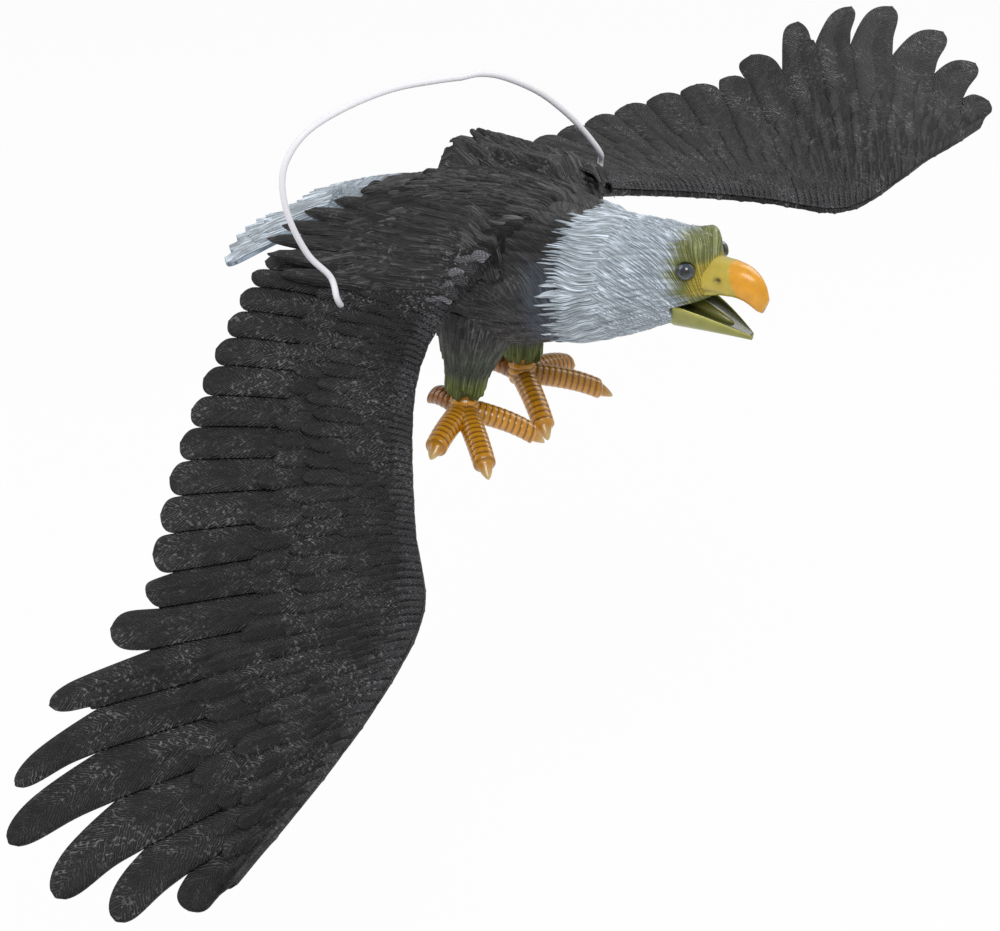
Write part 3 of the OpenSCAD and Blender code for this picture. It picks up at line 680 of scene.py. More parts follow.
def make_cord(side):
    name = SIDES[side]
    path = spline([hole_at(side, KNOT_SEAT + 0.3), hole_at(side, HOLE_TOP)] + ROUTE[side], 8)
    body = f"{name}_wing"
    cord = make(f"{name}_cord", [tube(path, CORD_D / 2, 14)], CORD_MAT)
    t = np.linspace(0, 2 * np.pi, 90)
    trefoil = xyz(np.sin(t) + 2 * np.sin(2 * t), np.cos(t) - 2 * np.cos(2 * t), -1.2 * np.sin(3 * t))
    x, u = HOLE[side]
    middle = wing_up(side, x, u) + KNOT_SEAT - KNOT_R
    turns = KNOT_SIZE * trefoil
    bundle = shouldered(side, x + turns[:, 0], u + turns[:, 1], middle + turns[:, 2])
    knot = make(f"{name}_stop_knot", [tube(bundle, KNOT_STRAND_R, 12)], CORD_MAT, body)
    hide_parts(f"hanging_cord_{name}")
    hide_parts(f"{name}_knot")
    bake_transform(cord)


for each_side in SIDES:
    make_cord(each_side)


# shoulder feathers that arch over the wing's root and point back
SCAP = 7
SHIELD_UP = 9.8
SCAP_BACK = {LEFT: [32.0, 41, 48, 54, 57, 54, 46], RIGHT: [38.0, 50, 60, 67, 69, 63, 52]}
SCAP_ROLL, MANTLE_ROLL, ROLL_FROM, ROLL_OVER = 11.0, 9.0, 8.0, 12.0
# count, share of the way back
SCAP_LAYERS = [(9, 0.72), (10, 0.45), (10, 0.2)]


def scap_up(side, x, u):
    """Height of the shoulder's plumage, level near the body and then following the wing."""
    rise = 4.5 + 3 * ease((10 - x) / 50) - 2.5 * ease((u - 26) / 20)
    up = mix(SHIELD_UP, wing_up(side, x, u) + rise, ease((u - 6) / 18))
    return up - 2.5 * ease((x - 14) / 12) * ease((u - 10) / 10)


def front_roll(x, drop):
    """How far the shoulder's plumage turns down towards its front edge."""
    return drop * ease((x - ROLL_FROM) / ROLL_OVER) ** 1.3


def scapular(side, root, tip, half, lift, seed, tone):
    q, c = column(34), sweep(13)
    narrow = half * (0.75 + 0.25 * ease(q / 0.3)) * rounded(q, start=0.6)
    x, u = np.moveaxis(leaf_plan(root, tip, q, narrow * c), -1, 0)
    skirt = edge_share(c, q, 8, 0.93)
    z = scap_up(side, x, u) + lift + 0.7 * lie(c) + 0.8 * (1 - c * c) - 2.2 * skirt
    z = z - front_roll(x, SCAP_ROLL)
    points = shouldered(side, x, u, z)
    # darker on the skirt, where the feather's edge and tip tuck under: painted shade
    tint = paint(UMBER * tone, UMBER * 0.45, skirt)
    return part(points, flow_of(points, seed), tint, side < 0)


def shoulder_feathers(side):
    rows = []
    for i in range(SCAP):
        tone = 0.85 + 0.5 * rand(i, 3, side + 2)
        root, tip = (25 - 0.9 * i, -4 + 5.2 * i), (-SCAP_BACK[side][i], -3 + 8 * i)
        rows.append(scapular(side, root, tip, 4.6, 0.4, 2.3 * i, tone))
    for layer, (count, back) in enumerate(SCAP_LAYERS):
        for j in range(count):
            a = (j + 0.5) / count
            tone = 0.85 + 0.6 * rand(j, layer + 5, side + 2)
            reach = float(np.interp(a * (SCAP - 1), np.arange(SCAP), SCAP_BACK[side])) * back
            reach *= 0.85 + 0.3 * rand(j, layer + 8, side + 2)
            root, tip = (25 - 5 * a, -4 + 33 * a), (-reach, -4 + 42 * a)
            rows.append(scapular(side, root, tip, 3.0, 0.9 + 0.5 * layer, 30 + 11 * layer + 1.9 * j, tone))
    return rows


def make_wing(side):
    name = SIDES[side]
    flight = make(f"{name}_flight_feathers", [p for i in range(FEATHERS) for p in flight_feather(side, i)],
                  WING_MAT)
    coverts = make(f"{name}_coverts",
                   [feather for row in COVERT_ROWS for feather in covert_row(side, *row)],
                   WING_MAT)
    margin = make(f"{name}_marginal_coverts", marginal_rows(side), WING_MAT)
    shoulder = make(f"{name}_shoulder_feathers", shoulder_feathers(side), BACK_MAT)
    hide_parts(f"{name}_wing")
    for piece in (flight, coverts, margin, shoulder):
        shoulder_blend(piece)


def shoulder_blend(piece):
    """Bakes the piece's placement into its own mesh."""
    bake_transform(piece)


# plumage relief
def tufts(along, place, around, length, seed):
    """Height from 0 to 1 of pointed overlapping tufts; place counts tufts across, around closes a ring."""
    best = np.zeros(np.broadcast(along, place).shape)
    row0 = np.floor(along / length)
    for back in (0, 1):
        row = row0 - back
        pos = place + rand(row, seed)
        for step in (-1, 0, 1):
            cell = np.floor(pos) + step
            key = np.mod(cell, around)
            start = row * length + 0.5 * length * (rand(row, key, seed + 1) - 0.5)
            u = (along - start) / (length * (1.35 + 0.5 * rand(row, key, seed + 2)))
            inside = (u > 0) & (u < 1)
            u = np.clip(u, 0, 1)
            wide = 0.68 * np.sqrt(1 - u**2.2) + 0.03
            v = (pos - cell - 0.5 - 0.35 * (rand(row, key, seed + 3) - 0.5)) / wide
            h = (0.3 + 0.7 * u) * np.clip(1 - v * v, 0, 1) ** 0.8
            best = np.maximum(best, np.where(inside, h, 0))
    return best


def plumage(along, turn, *sizes):
    """Tufts of several sizes round a ring, each with its share, count, length and seed."""
    return sum(share * tufts(along, turn * count, count, length, seed)
               for share, count, length, seed in sizes)


# torso
TORSO_BACK, TORSO_FRONT = -76.0, 46.0
BODY_MID = [[-76, -19], [-50, -20.5], [-20, -23], [8, -24.5], [26, -23.5], [46, -22]]
BODY_WIDE = [[-76, 11], [-64, 17.5], [-50, 23], [-30, 29], [-10, 32.5], [8, 33], [26, 31.5], [46, 26]]
BODY_TALL = [[-76, 9], [-64, 13.5], [-50, 18], [-30, 23.5], [-10, 28], [8, 30.5], [26, 29], [46, 25.5]]


def on_torso(x, t, out=0.0):
    """A point on the body at x and angle t, out mm off its skin."""
    a, b = curve(BODY_WIDE, x) + out, curve(BODY_TALL, x) + out
    e = np.where(np.sin(t) > 0, 2 / 3.2, 2 / 2.5)
    return xyz(x, a * signed_power(np.cos(t), e), curve(BODY_MID, x) + b * signed_power(np.sin(t), e))


def make_torso():
    x, t = np.linspace(TORSO_BACK, TORSO_FRONT, 260)[:, None], circle(320)
    turn = t / (2 * np.pi)
    along = TORSO_FRONT - x
    height = plumage(along, turn, (0.65, 34, 12.0, 11), (0.35, 84, 8.0, 23))
    points = on_torso(x, t, 2.1 * height - 1.2)
    # darker in the hollows between tufts and lighter on their crests: painted shade and painted light of
    # the relief
    tone = 0.3 + 2.0 * height
    tint = UMBER * tone[..., None]
    band = ease((x - 30) / 8) * ease((np.cos(t) ** 2 - 0.25) / 0.3) * ease((-np.sin(t) + 0.5) / 0.4)
    tint = paint(tint, STEEL, 0.75 * band)
    belly = ease((-np.sin(t) - 0.2) / 0.6)
    tint = tint * (1 + 0.5 * belly[..., None])
    rump = ease((-50 - x + 7 * (rand(np.floor(turn * 60), 4) - 0.5)) / 5)
    # pale rump, darker in the hollows between tufts: painted shade
    pale = paint(SNOW_SHADE, SNOW, height)
    tint = paint(tint, pale, rump)
    radius = curve(BODY_WIDE, x)
    flow = xyz(along, t * radius, 1.0)
    body = [capped(points, flow, tint, both=True)] + [thigh(s) for s in SIDES]
    torso = make("torso_plumage", body, BACK_MAT, "torso")
    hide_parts("torso_shell")


ANKLE_OUT, ANKLE_UP = 21.5, -75.0
HIP, ANKLE = np.array([5.0, 15.0, -38.0]), np.array([0.5, ANKLE_OUT, ANKLE_UP])
HIP_R, ANKLE_R, THIGH_LEN = 19.0, 7.8, 34.0


def thigh(side):
    f, t = column(90), circle(96)
    turn = t / (2 * np.pi)
    height = plumage(THIGH_LEN * f, turn, (0.6, 15, 9.0, 41 + side), (0.4, 34, 6.0, 47 + side))
    r = mix(HIP_R, ANKLE_R, ease(f)) - 0.9 + 2.4 * height
    r = r * mix(1, 0.82, ease((f - 0.94) / 0.06))
    centre = mix(HIP, ANKLE, f)
    ragged = 3.5 * ease((f - 0.8) / 0.2) * rand(np.floor(turn * 24), 8)
    points = xyz(centre[:, :1] + r * np.cos(t), side * (centre[:, 1:2] + 0.86 * r * np.sin(t)),
                 centre[:, 2:] - ragged)
    tint = paint(UMBER * 1.1, SAGE, ease((f - 0.25) / 0.3))
    tint = paint(tint, MOSS, ease((f - 0.72) / 0.2))
    # darker in the hollows between tufts and lighter on their crests: painted shade and painted light of
    # the relief
    tint = tint * (0.45 + 1.25 * height)[..., None]
    flow = xyz(THIGH_LEN * f, 14 * t, 2.0 + side)
    return capped(points, flow, tint, flip=side > 0)


make_torso()


# mantle: plumage that runs from the back over the shoulder and on to the wing
MANTLE_FRONT, MANTLE_BACK, MANTLE_OUT = 34.0, -40.0, 68.0
MANTLE_AHEAD = {LEFT: 2.0, RIGHT: -0.5}
MANTLE_RAISE = {LEFT: 3.5, RIGHT: 0.0}
LEAVES_ALONG, LEAVES_OUT = 16, 26
# front rows, and span out from the middle in mm, where some leaves are lit up: partly wear, partly painted
# highlights
WEAR_GLINT_ROWS, WEAR_GLINT_FROM, WEAR_GLINT_TO = 3, 20.0, 44.0
LEAF_DRAWS = np.array([1, 2, 3, 4, 5, 6, 8])
WALL_SHARE, WALL_LOW, WALL_HIGH = 0.07, 3.0, 12.0


def mantle_front(side, y):
    """Where the mantle begins: on the neck in the middle, at the wing's leading edge farther out."""
    u = (y - SHOULDER_OUT) / math.cos(DROOP[side])
    return mix(MANTLE_FRONT, curve(LEAD, np.maximum(u, 8.0)) + MANTLE_AHEAD[side], ease((y - 20) / 12))


def mantle_up(side, x, y):
    """Height of the mantle's base at x and at y mm out from the middle."""
    wide, tall = curve(BODY_WIDE, x), curve(BODY_TALL, x)
    dome = np.clip(1 - np.clip(y / wide, 0, 1) ** 3.2, 0, 1) ** (1 / 3.2)
    back = np.where(y < wide, curve(BODY_MID, x) + tall * dome, -60.0)
    c, s = math.cos(DROOP[side]), math.sin(DROOP[side])
    z = SHIELD_UP
    for _ in range(4):
        u = (y - SHOULDER_OUT - z * s) / c
        z = scap_up(side, x, np.maximum(u, -8.0))
    z = z + 1.0 + MANTLE_RAISE[side] * ease((u - 8) / 8) * ease((44 - u) / 12)
    roll = front_roll(x, MANTLE_ROLL) * ease((24 - u) / 10)
    wing = SHOULDER_UP + z * c - u * s - roll - 1.6 * np.clip(-5 - u, 0, None)
    return 0.5 * (back + wing + np.sqrt((back - wing) ** 2 + 16))


def mantle_wall(side, x, y):
    """How far the mantle drops at its front edge, where it closes over the shoulder."""
    front = mantle_front(side, y)
    f = (front - x) / (front - MANTLE_BACK)
    drop = mix(WALL_LOW, WALL_HIGH, ease((y - 14) / 8) * ease((46 - y) / 12))
    return drop * ease((WALL_SHARE - f) / WALL_SHARE)


def mantle_leaf(side, x0, y0, length, half, lift, seed, tone):
    q, c = column(14), sweep(7)
    lean = 0.1 + 0.5 * min(1.0, y0 / 55)
    way = np.array([-1.0, lean]) / math.hypot(1, lean)
    narrow = half * ease((q + 0.25) / 0.5) * rounded(q, power=3)
    x = x0 + length * q * way[0] + narrow * c * way[1]
    y = np.maximum(y0 + length * q * way[1] - narrow * c * way[0], 0.3)
    skirt = edge_share(c, q, 6, 0.88)
    z = mantle_up(side, x, y) - mantle_wall(side, x, y) + lift * ease(q / 0.5)
    z = z + 0.9 * (1 - c * c) - 1.3 * skirt - 1.2 * ease((0.2 - q) / 0.2)
    points = np.stack([x, side * y, z], -1)
    # darker on the skirt, where the leaf's edge and tip tuck under: painted shade
    tint = paint(UMBER * tone, UMBER * 0.3, skirt)
    return part(points, flow_of(points, seed), tint, side < 0)


def make_mantle(side):
    y, f = np.linspace(0.0, MANTLE_OUT, 120)[None, :], column(120)
    x = mix(mantle_front(side, y), MANTLE_BACK, f)
    height = tufts(MANTLE_FRONT - x, y / 4.2, 1000, 11.0, 83 + side)
    sunk = ease((y - MANTLE_OUT + 6) / 6) + ease((f - 0.92) / 0.08)
    z = mantle_up(side, x, y) + 1.6 * height - 1.6 - 2.5 * sunk - mantle_wall(side, x, y)
    points = xyz(x, side * y, z)
    # darker in the hollows between tufts and lighter on their crests: painted shade and painted light of
    # the relief
    tint = UMBER * (0.3 + 1.6 * height)[..., None]
    flow = xyz(MANTLE_FRONT - x, y, 7.0)
    parts = [part(points, flow, tint, side < 0)]
    for i in range(LEAVES_ALONG):
        for j in range(LEAVES_OUT):
            key = i * LEAVES_OUT + j
            ahead, out, size, girth, shade, loft, wear_and_glint = rand(key, LEAF_DRAWS, side + 3)
            y0 = (MANTLE_OUT - 8) * (j + 0.9 * out) / LEAVES_OUT
            x0 = mix(float(mantle_front(side, y0)), MANTLE_BACK + 14, (i + 0.8 * ahead) / LEAVES_ALONG)
            tone = 0.5 + 2.4 * shade**2
            # some leaves at the shoulder's front lit up: partly wear, partly painted highlights
            if i < WEAR_GLINT_ROWS and WEAR_GLINT_FROM < y0 < WEAR_GLINT_TO:
                tone += 3 * wear_and_glint**4
            parts.append(mantle_leaf(side, x0, y0, 9 + 8 * size, 1.3 + 0.8 * girth, 0.5 + 0.6 * loft,
                                     1.7 * key, tone))
    mantle = make(f"{SIDES[side]}_mantle", parts, BACK_MAT)
    shoulder_blend(mantle)


for each_side in SIDES:
    make_wing(each_side)
    make_mantle(each_side)

# tail
TAIL_ROOT = np.array([-66.0, 0.0, -16.0])
TAIL_DROOP = math.radians(21)
TAIL_LEN, TAIL_HALF, TAIL_N = 56.0, 34.0, 9
# count, share of the tail's length, height
TAIL_COVERTS = [(11, 0.78, 3.2), (11, 0.58, 5.6), (9, 0.4, 8.0)]


def at_tail(x, y, z):
    c, s = math.cos(TAIL_DROOP), math.sin(TAIL_DROOP)
    return np.stack([x * c - z * s, y, x * s + z * c], -1) + TAIL_ROOT


def tail_feather(root, tip, half, top, low, seed, rows=44, cols=15):
    q, c = column(rows), sweep(cols)
    narrow = half * mix(0.55, 1, ease(q / 0.7)) * rounded(q, start=0.78, power=2.4)
    x, y = np.moveaxis(leaf_plan(root, tip, q, narrow * c), -1, 0)
    half_mm = np.abs(narrow * c)
    up = -0.006 * y * y
    relief = 0.6 * lie(c) + 0.5 * np.exp(-(half_mm / 0.8) ** 2) + 0.25 * (1 - c * c)
    rim = np.abs(c) ** 8 * np.ones_like(x)
    upper, under = up + mix(top + relief, 0.2, 0.7 * rim), up - mix(low - 0.5 * relief, 0.2, 0.7 * rim)
    points, below = at_tail(x, y, upper), at_tail(x, y, under)
    # pale tone that differs at random, darker on the rim where the feathers overlap: painted shade
    tint = paint(SNOW * (0.85 + 0.25 * rand(seed, 3)), SNOW_SHADE, rim)
    flow = flow_of(points, 1.9 * seed)
    return [part(points, flow, tint), part(below, flow, tint, True),
            rim_strip(points, below, flow, tint, False)]


def make_tail():
    parts = []
    for i in range(TAIL_N):
        s = 2 * i / (TAIL_N - 1) - 1
        parts += tail_feather((-8.0, 11 * s), (-TAIL_LEN + 7 * s * s, TAIL_HALF * s), 5.0, 1.3, 1.3, i)
    for layer, (count, back, lift) in enumerate(TAIL_COVERTS):
        for i in range(count):
            s = 2 * i / (count - 1) - 1
            reach = TAIL_LEN * back * (0.85 + 0.3 * rand(i, layer, 6))
            root, tip = (-3.0, 10 * s), (-reach, TAIL_HALF * (0.42 + 0.45 * back) * s)
            parts += tail_feather(root, tip, 3.6, lift, 0.6, 20 + 12 * layer + i, 30, 11)
    tail = make("tail_feathers", parts, PALE_MAT, "torso")
    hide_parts("tail_fan")


make_tail()

# head: neck sections, brow, eye sockets, then the two halves of the beak
NECK_BACK, FACE_FRONT = 46.3, 103.0
HEAD_MID = [[46, -22], [58, -20.2], [70, -17.2], [82, -13.8], [91, -12.2], [98, -11.5], [103, -11.3]]
HEAD_WIDE = [[46, 25.4], [58, 24.2], [70, 21.8], [82, 19.2], [91, 16.6], [98, 12.6], [103, 7.5]]
HEAD_TALL = [[46, 25.4], [58, 24.8], [70, 23.2], [82, 20.3], [91, 17.8], [98, 13.6], [103, 8]]
BROW_X, BROW_T, BROW_WIDE = 96.5, math.radians(51), math.radians(18)
EYE_AT, EYE_R = np.array([96.4, 13.0, -5.0]), 3.6
# roof of the open mouth: from here forward the head ends at it
ROOF_FROM, ROOF_UP, BELOW_NECK = 86.5, -21.5, -60.0


def eye_centre(side):
    return EYE_AT * np.array([1, side, 1])


def on_head(x, t, out=0.0):
    a, b = curve(HEAD_WIDE, x) + out, curve(HEAD_TALL, x) + out
    near = np.exp(-((t - BROW_T) / BROW_WIDE) ** 2) + np.exp(-((t - np.pi + BROW_T) / BROW_WIDE) ** 2)
    k = 1 + 0.35 * np.exp(-((x - BROW_X) / 5.5) ** 2) * near
    return xyz(x, a * k * np.cos(t), curve(HEAD_MID, x) + b * k * np.sin(t))


def face_share(points):
    """How far the olive face paint has taken over, from 0 on the neck to 1 at the beak."""
    x, z = points[..., 0], points[..., 2]
    border = 87.5 - 0.1 * (z + 8) + 3.5 * ease((-10 - z) / 10)
    return ease((x - border + 1) / 9)


def make_head():
    x, t = mix(NECK_BACK, FACE_FRONT, column(240) ** 0.95), circle(300)
    turn = t / (2 * np.pi)
    along = FACE_FRONT - x
    height = plumage(along, turn, (0.6, 46, 11.0, 61), (0.4, 100, 7.0, 67))
    strand = 4 * (rand(np.floor(turn * 110), 5) - 0.5)
    bare = face_share(on_head(x + strand, t))
    tucked = 2.2 * ease((52 - x) / 5)
    points = on_head(x, t, mix(1.5 * height - 0.8, 0.25 * height, bare) - tucked)
    for s in SIDES:
        away = np.linalg.norm(points - eye_centre(s), axis=-1)
        push = np.clip(EYE_R + 0.35 - away, 0, None)
        points = points - push[..., None] * np.array([0.25, 0.95 * s, 0.1])
    roof = mix(BELOW_NECK, ROOF_UP, ease((x - ROOF_FROM) / 4)) + 0.35 * np.clip(x - 90, 0, None)
    gape = np.clip((roof - points[..., 2]) / 1.5, 0, 1)
    points[..., 2] = np.maximum(points[..., 2], roof)
    # pale plumage and olive face, darker in the hollows between tufts: painted shade
    tint = paint(SNOW_SHADE, SNOW, 1.15 * height)
    olive = paint(OLIVE * 0.6, OLIVE, 0.4 + height)
    tint = paint(tint, olive, bare)
    up = points[..., 2]
    lore = ease((points[..., 0] - 95.5) / 4) * ease((up + 17) / 3) * ease((-1 - up) / 3)
    # yellow lore, darker in its hollows: painted shade
    tint = paint(tint, CERE * (0.7 + 0.6 * height)[..., None], 0.85 * lore)
    tint = paint(tint, MOUTH, gape)
    flow = xyz(along, t * curve(HEAD_WIDE, x), 4.0)
    skull = capped(points, flow, tint, both=True)
    head = make("head_plumage", [skull] + ruff(), PALE_MAT, "torso")
    make("beak", [upper_beak(), lower_beak(), tongue()], FACE_MAT, "torso")
    make("eyelids", [eyelid(s) for s in SIDES], FACE_MAT, "torso")
    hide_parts("head_shell")
    for s, name in SIDES.items():
        eye = make(f"{name}_eyeball", [eyeball(s)], EYE_MAT, "torso")
        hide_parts(f"{name}_eye")


RUFF_COUNTS, RUFF_ROOT, RUFF_TIP = (130, 118), 60.0, 44.5
# where the ruff climbs from the neck on to the body
CLIMB_FROM, CLIMB_OVER = 57.0, 11.0


def ruff():
    """Pale strands of uneven length that hang from the neck over the dark body."""
    parts = []
    for layer, count in enumerate(RUFF_COUNTS):
        for j in range(count):
            q, c = column(18), sweep(7)
            tip = RUFF_TIP - 8 * rand(j, layer, 71) + 5 * layer
            x = mix(RUFF_ROOT + 4 * layer + 5 * rand(j, layer, 72), tip, q)
            narrow = np.clip(1 - q**5, 0.01, 1) ** 0.8
            t = 2 * np.pi * (j + 0.5 * layer + 0.4 * rand(j, layer, 73)) / count
            t = t + 0.62 * 2 * np.pi / count * narrow * c + 0.05 * q
            skirt = edge_share(c, q, 6, 0.9)
            lift = 0.3 * layer - 1.4 + 1.6 * ease(q / 0.45) + 0.5 * (1 - c * c) - 1.2 * skirt
            body, neck = on_torso(x, t, lift), on_head(x, t, lift)
            points = neck + (body - neck) * ease((CLIMB_FROM - x) / CLIMB_OVER)[..., None]
            # pale tone that differs at random, darker on the skirt where strands tuck under: painted shade
            tint = paint(SNOW * (0.85 + 0.25 * rand(j, layer, 75)), SNOW_SHADE, skirt)
            parts.append(part(points, flow_of(points, 1.3 * j + 60 * layer), tint, flip=True))
    return parts


BILL_ROOT, BILL_TIP = 94.0, 125.6
CROWN = [[0, -3.9], [0.3, -2.8], [0.6, -2.8], [0.8, -5], [0.95, -9.8], [1, -14.6]]
CUTTING = [[0, -20], [0.28, -17], [0.5, -16.2], [0.68, -16.9], [0.8, -18.6], [0.93, -20.4], [1, -20.8]]
BILL_WIDE = [[0, 11], [0.3, 8.4], [0.6, 6.4], [0.85, 4.2], [1, 1.6]]
CERE_END = 0.54
NOSTRIL_X, NOSTRIL_Z = 107.0, -8.6


def upper_beak():
    t, a = column(90), circle(64)
    top, low, wide = curve(CROWN, t), curve(CUTTING, t), curve(BILL_WIDE, t)
    x = mix(BILL_ROOT, BILL_TIP, t) - 2.4 * ease((t - 0.75) / 0.25) * (1 - np.sin(a)) / 2
    cere = ease((CERE_END - t) / 0.03)
    swell = 1 + 0.05 * cere - 0.03 * ease((t - 0.3) / 0.1) * cere
    y = swell * wide * signed_power(np.cos(a), 0.8)
    z = (top + low) / 2 + swell * (top - low) / 2 * np.sin(a)
    nostril = np.exp(-(((x - NOSTRIL_X) / 1.4) ** 2 + (z - NOSTRIL_Z) ** 2))
    fold = np.exp(-((z - (-13.2 - 2.2 * t)) / 0.8) ** 2) * ease((CERE_END - t) / 0.1)
    lip = np.exp(-((np.sin(a) + 0.72) / 0.16) ** 2) * ease((0.62 - t) / 0.2)
    y = y * (1 - 0.2 * nostril - 0.07 * fold + 0.12 * lip)
    points = xyz(x, y, z)
    inside = ease((-np.sin(a) - 0.9) / 0.06)
    edge = CERE_END + 0.05 - 0.08 * np.sin(a)
    tint = paint(CERE, ORANGE, ease((t - edge) / 0.03 + 0.5))
    # darker in the nostril and along the fold: painted shade in these hollows
    tint = tint * (1 - 0.85 * nostril - 0.45 * fold)[..., None]
    olive = ease((0.26 - t) / 0.2)
    tint = paint(tint, OLIVE, 0.8 * olive)
    tint = paint(tint, LIP, 0.6 * lip)
    tint = paint(tint, MOUTH, inside)
    return capped(points, np.zeros(points.shape), tint)


JAW_BACK, JAW_TIP, JAW_DEEP = 88.0, 119.0, (12.7, 2.4)
RIM_UP, RIM_FALL = -20.5, 10.0


def lower_beak():
    t, a = column(60), circle(56)
    rim = RIM_UP - RIM_FALL * t**1.4
    keel = rim - mix(*JAW_DEEP, t**1.25)
    wide = mix(11.5, 1.4, t**1.5)
    y = wide * signed_power(np.cos(a), 0.8) * (1 + 0.1 * np.exp(-(np.sin(a) / 0.16) ** 2) * (1 - t))
    bowl = -2.6 * np.sin(a) * (1 - t**2)
    z = np.where(np.sin(a) > 0, rim + bowl, rim + (keel - rim) * -np.sin(a))
    points = xyz(mix(JAW_BACK, JAW_TIP, t), y, z)
    inside = ease((np.sin(a) - 0.12) / 0.2) * np.ones_like(t)
    rim_roll = np.exp(-(np.sin(a) / 0.16) ** 2) * np.ones_like(t)
    tint = paint(paint(JAW, LIP, rim_roll), MOUTH, inside)
    return capped(points, np.zeros(points.shape), tint)


TONGUE_BACK, TONGUE_TIP, TONGUE_R = np.array([92.0, 0.0, -22.2]), np.array([111.0, 0.0, -28.0]), 2.6


def tongue():
    q = column(24)
    path = mix(TONGUE_BACK, TONGUE_TIP, q)
    return tube(path, TONGUE_R * rounded(q[:, 0], power=3), 16, tint=JAW * 0.5)


def eye_axes(x, y, z):
    """Unit vectors out along the gaze, level across it and up."""
    look = np.array([x, y, z]) / np.linalg.norm([x, y, z])
    fore = np.cross([0, 0, 1.0], look)
    fore = fore / np.linalg.norm(fore)
    return look, fore, np.cross(look, fore)


def eyelid(side):
    t = np.linspace(0, 2 * np.pi, 49)
    look, fore, up = eye_axes(0.32, 0.93 * side, 0.12)
    centre = eye_centre(side) + 1.1 * look
    path = centre + 3.2 * (np.cos(t)[:, None] * fore + 0.8 * np.sin(t)[:, None] * up)
    return tube(path, 0.7, 10, tint=OLIVE * 0.3)


def eyeball(side):
    look, fore, up = eye_axes(0.38, 0.9 * side, 0.2)
    p, a = np.linspace(0.01, np.pi - 0.01, 33)[:, None], circle(48)
    unit = (np.cos(p)[..., None] * look + (np.sin(p) * np.cos(a))[..., None] * fore
            + (np.sin(p) * np.sin(a))[..., None] * up)
    points = eye_centre(side) + EYE_R * unit
    iris = ease((p - 0.5) / 0.1) * (1 - ease((p - 0.95) / 0.1))
    tint = paint(PUPIL, IRIS, iris)
    return part(points, np.zeros(points.shape), tint, flip=False, ring=True)


make_head()

# feet
HUB = np.array([0.5, ANKLE_OUT, -83.5])
TOE_LEN, TOE_R, SHANK_R = 40.0, 4.8, 4.6
# heading and pitch in degrees, share of the full length
TOES = [(42, -14, 1.0), (80, -7, 0.84), (-38, -21, 0.88), (186, 12, 0.48)]
SCUTES = 13
HIND_FROM, HIND_SHADE = 120, np.array([0.55, 0.42, 0.5])


def toe(side, heading, pitch, share):
    t, a = column(110), circle(28)
    h, p, length = math.radians(heading), math.radians(pitch), TOE_LEN * share
    way = np.array([math.cos(p) * math.cos(h), math.cos(p) * math.sin(h), math.sin(p)])
    path = length * t * way + np.concatenate([0 * t, 0 * t, -4 * t**4 + 0.6 * np.sin(np.pi * t)], axis=1)
    across = np.array([-math.sin(h), math.cos(h), 0])
    up = np.array([-math.sin(p) * math.cos(h), -math.sin(p) * math.sin(h), math.cos(p)])
    claw = ease((t - 0.84) / 0.03)
    plate = np.modf(SCUTES * share * t / 0.85)[0]
    rings = ease(plate / 0.25) * (1 - plate**5)
    skin = TOE_R * mix(1.02, 0.88, t) * (0.97 + 0.045 * rings)
    nail = TOE_R * 0.68 * np.clip((1 - t) / 0.16, 0.003, 1) ** 0.6
    r = mix(skin, nail, claw)
    pad = 1 + 0.06 * np.cos(2 * a)
    ring = np.cos(a)[..., None] * across + np.sin(a)[..., None] * up
    points = HUB + path[:, None, :] + (r * pad)[..., None] * ring
    points[..., 1] *= side
    # dark brown in the scute grooves; darker towards the root, where the toes meet: painted shade
    tint = paint(GROOVE, OCHRE, 0.05 + rings) * mix(0.55, 1, ease(t / 0.4))[..., None]
    tint = paint(tint, paint(OCHRE * 0.8, HORN, (t - 0.88) / 0.12), claw)
    if heading > HIND_FROM:
        tint = tint * HIND_SHADE
    return part(points, np.zeros(points.shape), tint, flip=side < 0, ring=True)


def shank(side):
    f, a = column(50), circle(36)
    rings = np.abs(np.sin(np.pi * 6 * f)) ** 0.6
    ankle = 1.6 * np.sin(np.pi * np.clip(f / 0.7, 0, 1))
    r = (mix(TOE_R * 0.9, SHANK_R * 1.12, ease(f)) + ankle) * (0.93 + 0.1 * rings)
    r = r * np.sqrt(np.clip(f / 0.06, 0.02, 1))
    z = mix(-5.0, ANKLE_UP - HUB[2] + 3, f)
    points = HUB + xyz(r * np.cos(a), r * np.sin(a), z)
    points[..., 1] *= side
    tint = paint(GROOVE, OCHRE, 0.15 + rings)
    tint = paint(WHITE, MOSS * 2.2, 0.55 * ease((f - 0.55) / 0.3)) * tint
    return part(points, np.zeros(points.shape), tint, flip=side > 0, ring=True)


def make_foot(side):
    pieces = [toe(side, *d) for d in TOES] + [shank(side)]
    foot = make(f"{SIDES[side]}_talons", pieces, FOOT_MAT, "torso")
    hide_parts(f"{SIDES[side]}_foot")


for each_side in SIDES:
    make_foot(each_side)


# studio: white world, pale floor far below the hanging bird, soft lamps
FLOOR_Z, FLOOR_SIZE, FLOOR_GLOW = -0.55, 12.0, 0.92
SKY_LIGHT, SKY_SEEN = 0.55, 1.0
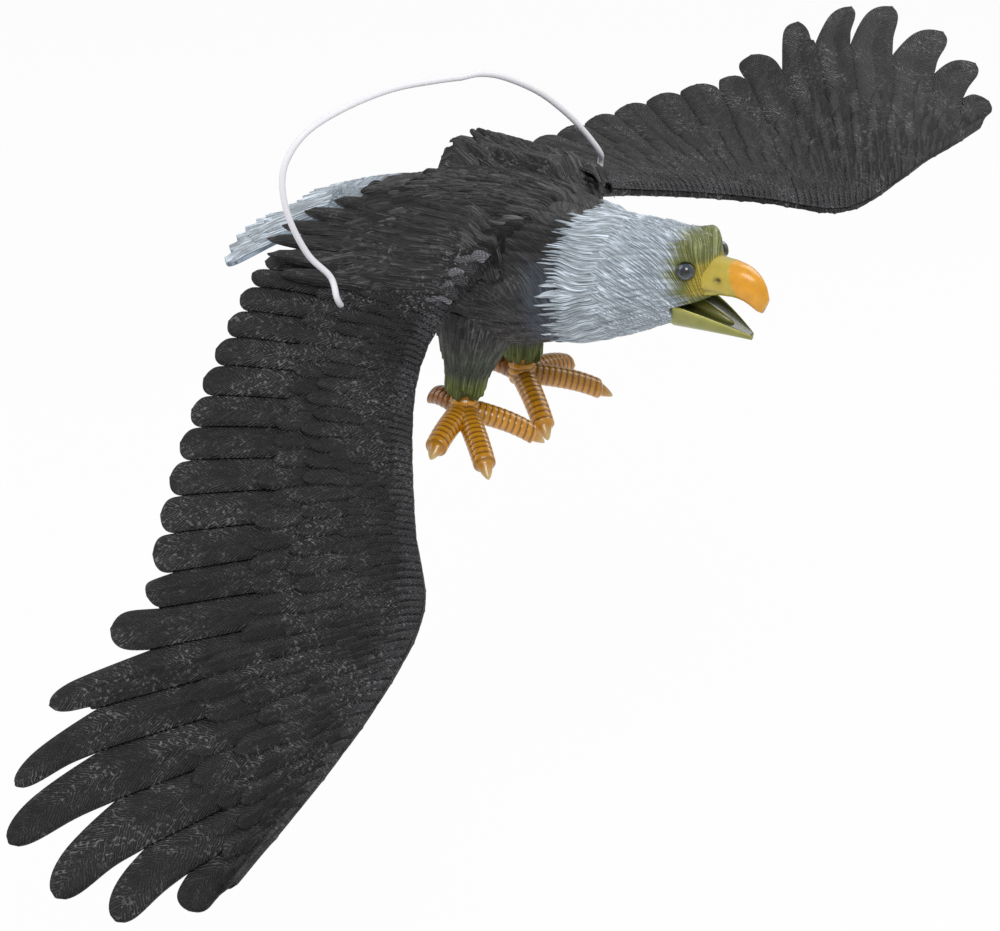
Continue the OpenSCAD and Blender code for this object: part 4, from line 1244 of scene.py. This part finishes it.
# name, place, size in metres, watts
LAMPS = [("key", (0.9, -0.9, 1.3), 0.9, 16.0),
         ("fill", (-1.2, -0.6, 0.9), 1.2, 7.0),
         ("rim", (0.2, 1.4, 0.9), 1.0, 8.0)]


def make_world():
    world = bpy.data.worlds.new("studio")
    bpy.context.scene.world = world
    world.use_nodes = True
    tree = world.node_tree
    shade = tree.nodes["Background"]
    path = tree.nodes.new("ShaderNodeLightPath")
    seen = tree.nodes.new("ShaderNodeMath")
    seen.operation = "MAXIMUM"
    tree.links.new(path.outputs["Is Camera Ray"], seen.inputs[0])
    tree.links.new(path.outputs["Is Transmission Ray"], seen.inputs[1])
    strength = tree.nodes.new("ShaderNodeMapRange")
    strength.inputs["To Min"].default_value = SKY_LIGHT
    strength.inputs["To Max"].default_value = SKY_SEEN
    tree.links.new(seen.outputs[0], strength.inputs["Value"])
    tree.links.new(strength.outputs["Result"], shade.inputs["Strength"])
    shade.inputs["Color"].default_value = (1, 1, 1, 1)


def make_floor():
    bpy.ops.mesh.primitive_plane_add(size=FLOOR_SIZE, location=(0, 0, FLOOR_Z))
    floor = bpy.context.object
    floor.name = "floor"
    n = Nodes("floor_white")
    n.surface({"Base Color": (0.9, 0.9, 0.9, 1), "Roughness": 0.9})
    glow = n.new("ShaderNodeEmission")
    glow.inputs["Strength"].default_value = 1.0
    path = n.new("ShaderNodeLightPath")
    share = n.math("MULTIPLY", path.outputs["Is Camera Ray"], FLOOR_GLOW)
    mixer = n.new("ShaderNodeMixShader")
    n.link(share, mixer.inputs[0])
    n.link(n.shader.outputs[0], mixer.inputs[1])
    n.link(glow.outputs[0], mixer.inputs[2])
    n.link(mixer.outputs[0], n.tree.nodes["Material Output"].inputs["Surface"])
    floor.data.materials.append(n.material)


def make_lamp(name, place, size, watts):
    data = bpy.data.lights.new(name, "AREA")
    data.size, data.energy = size, watts
    lamp = bpy.data.objects.new(name, data)
    lamp.location = place
    lamp.rotation_euler = (Vector(place) - CAM_AIM).to_track_quat("Z", "Y").to_euler()
    bpy.context.scene.collection.objects.link(lamp)


make_world()
make_floor()
for lamp_values in LAMPS:
    make_lamp(*lamp_values)
bpy.context.scene.view_settings.view_transform = "Standard"
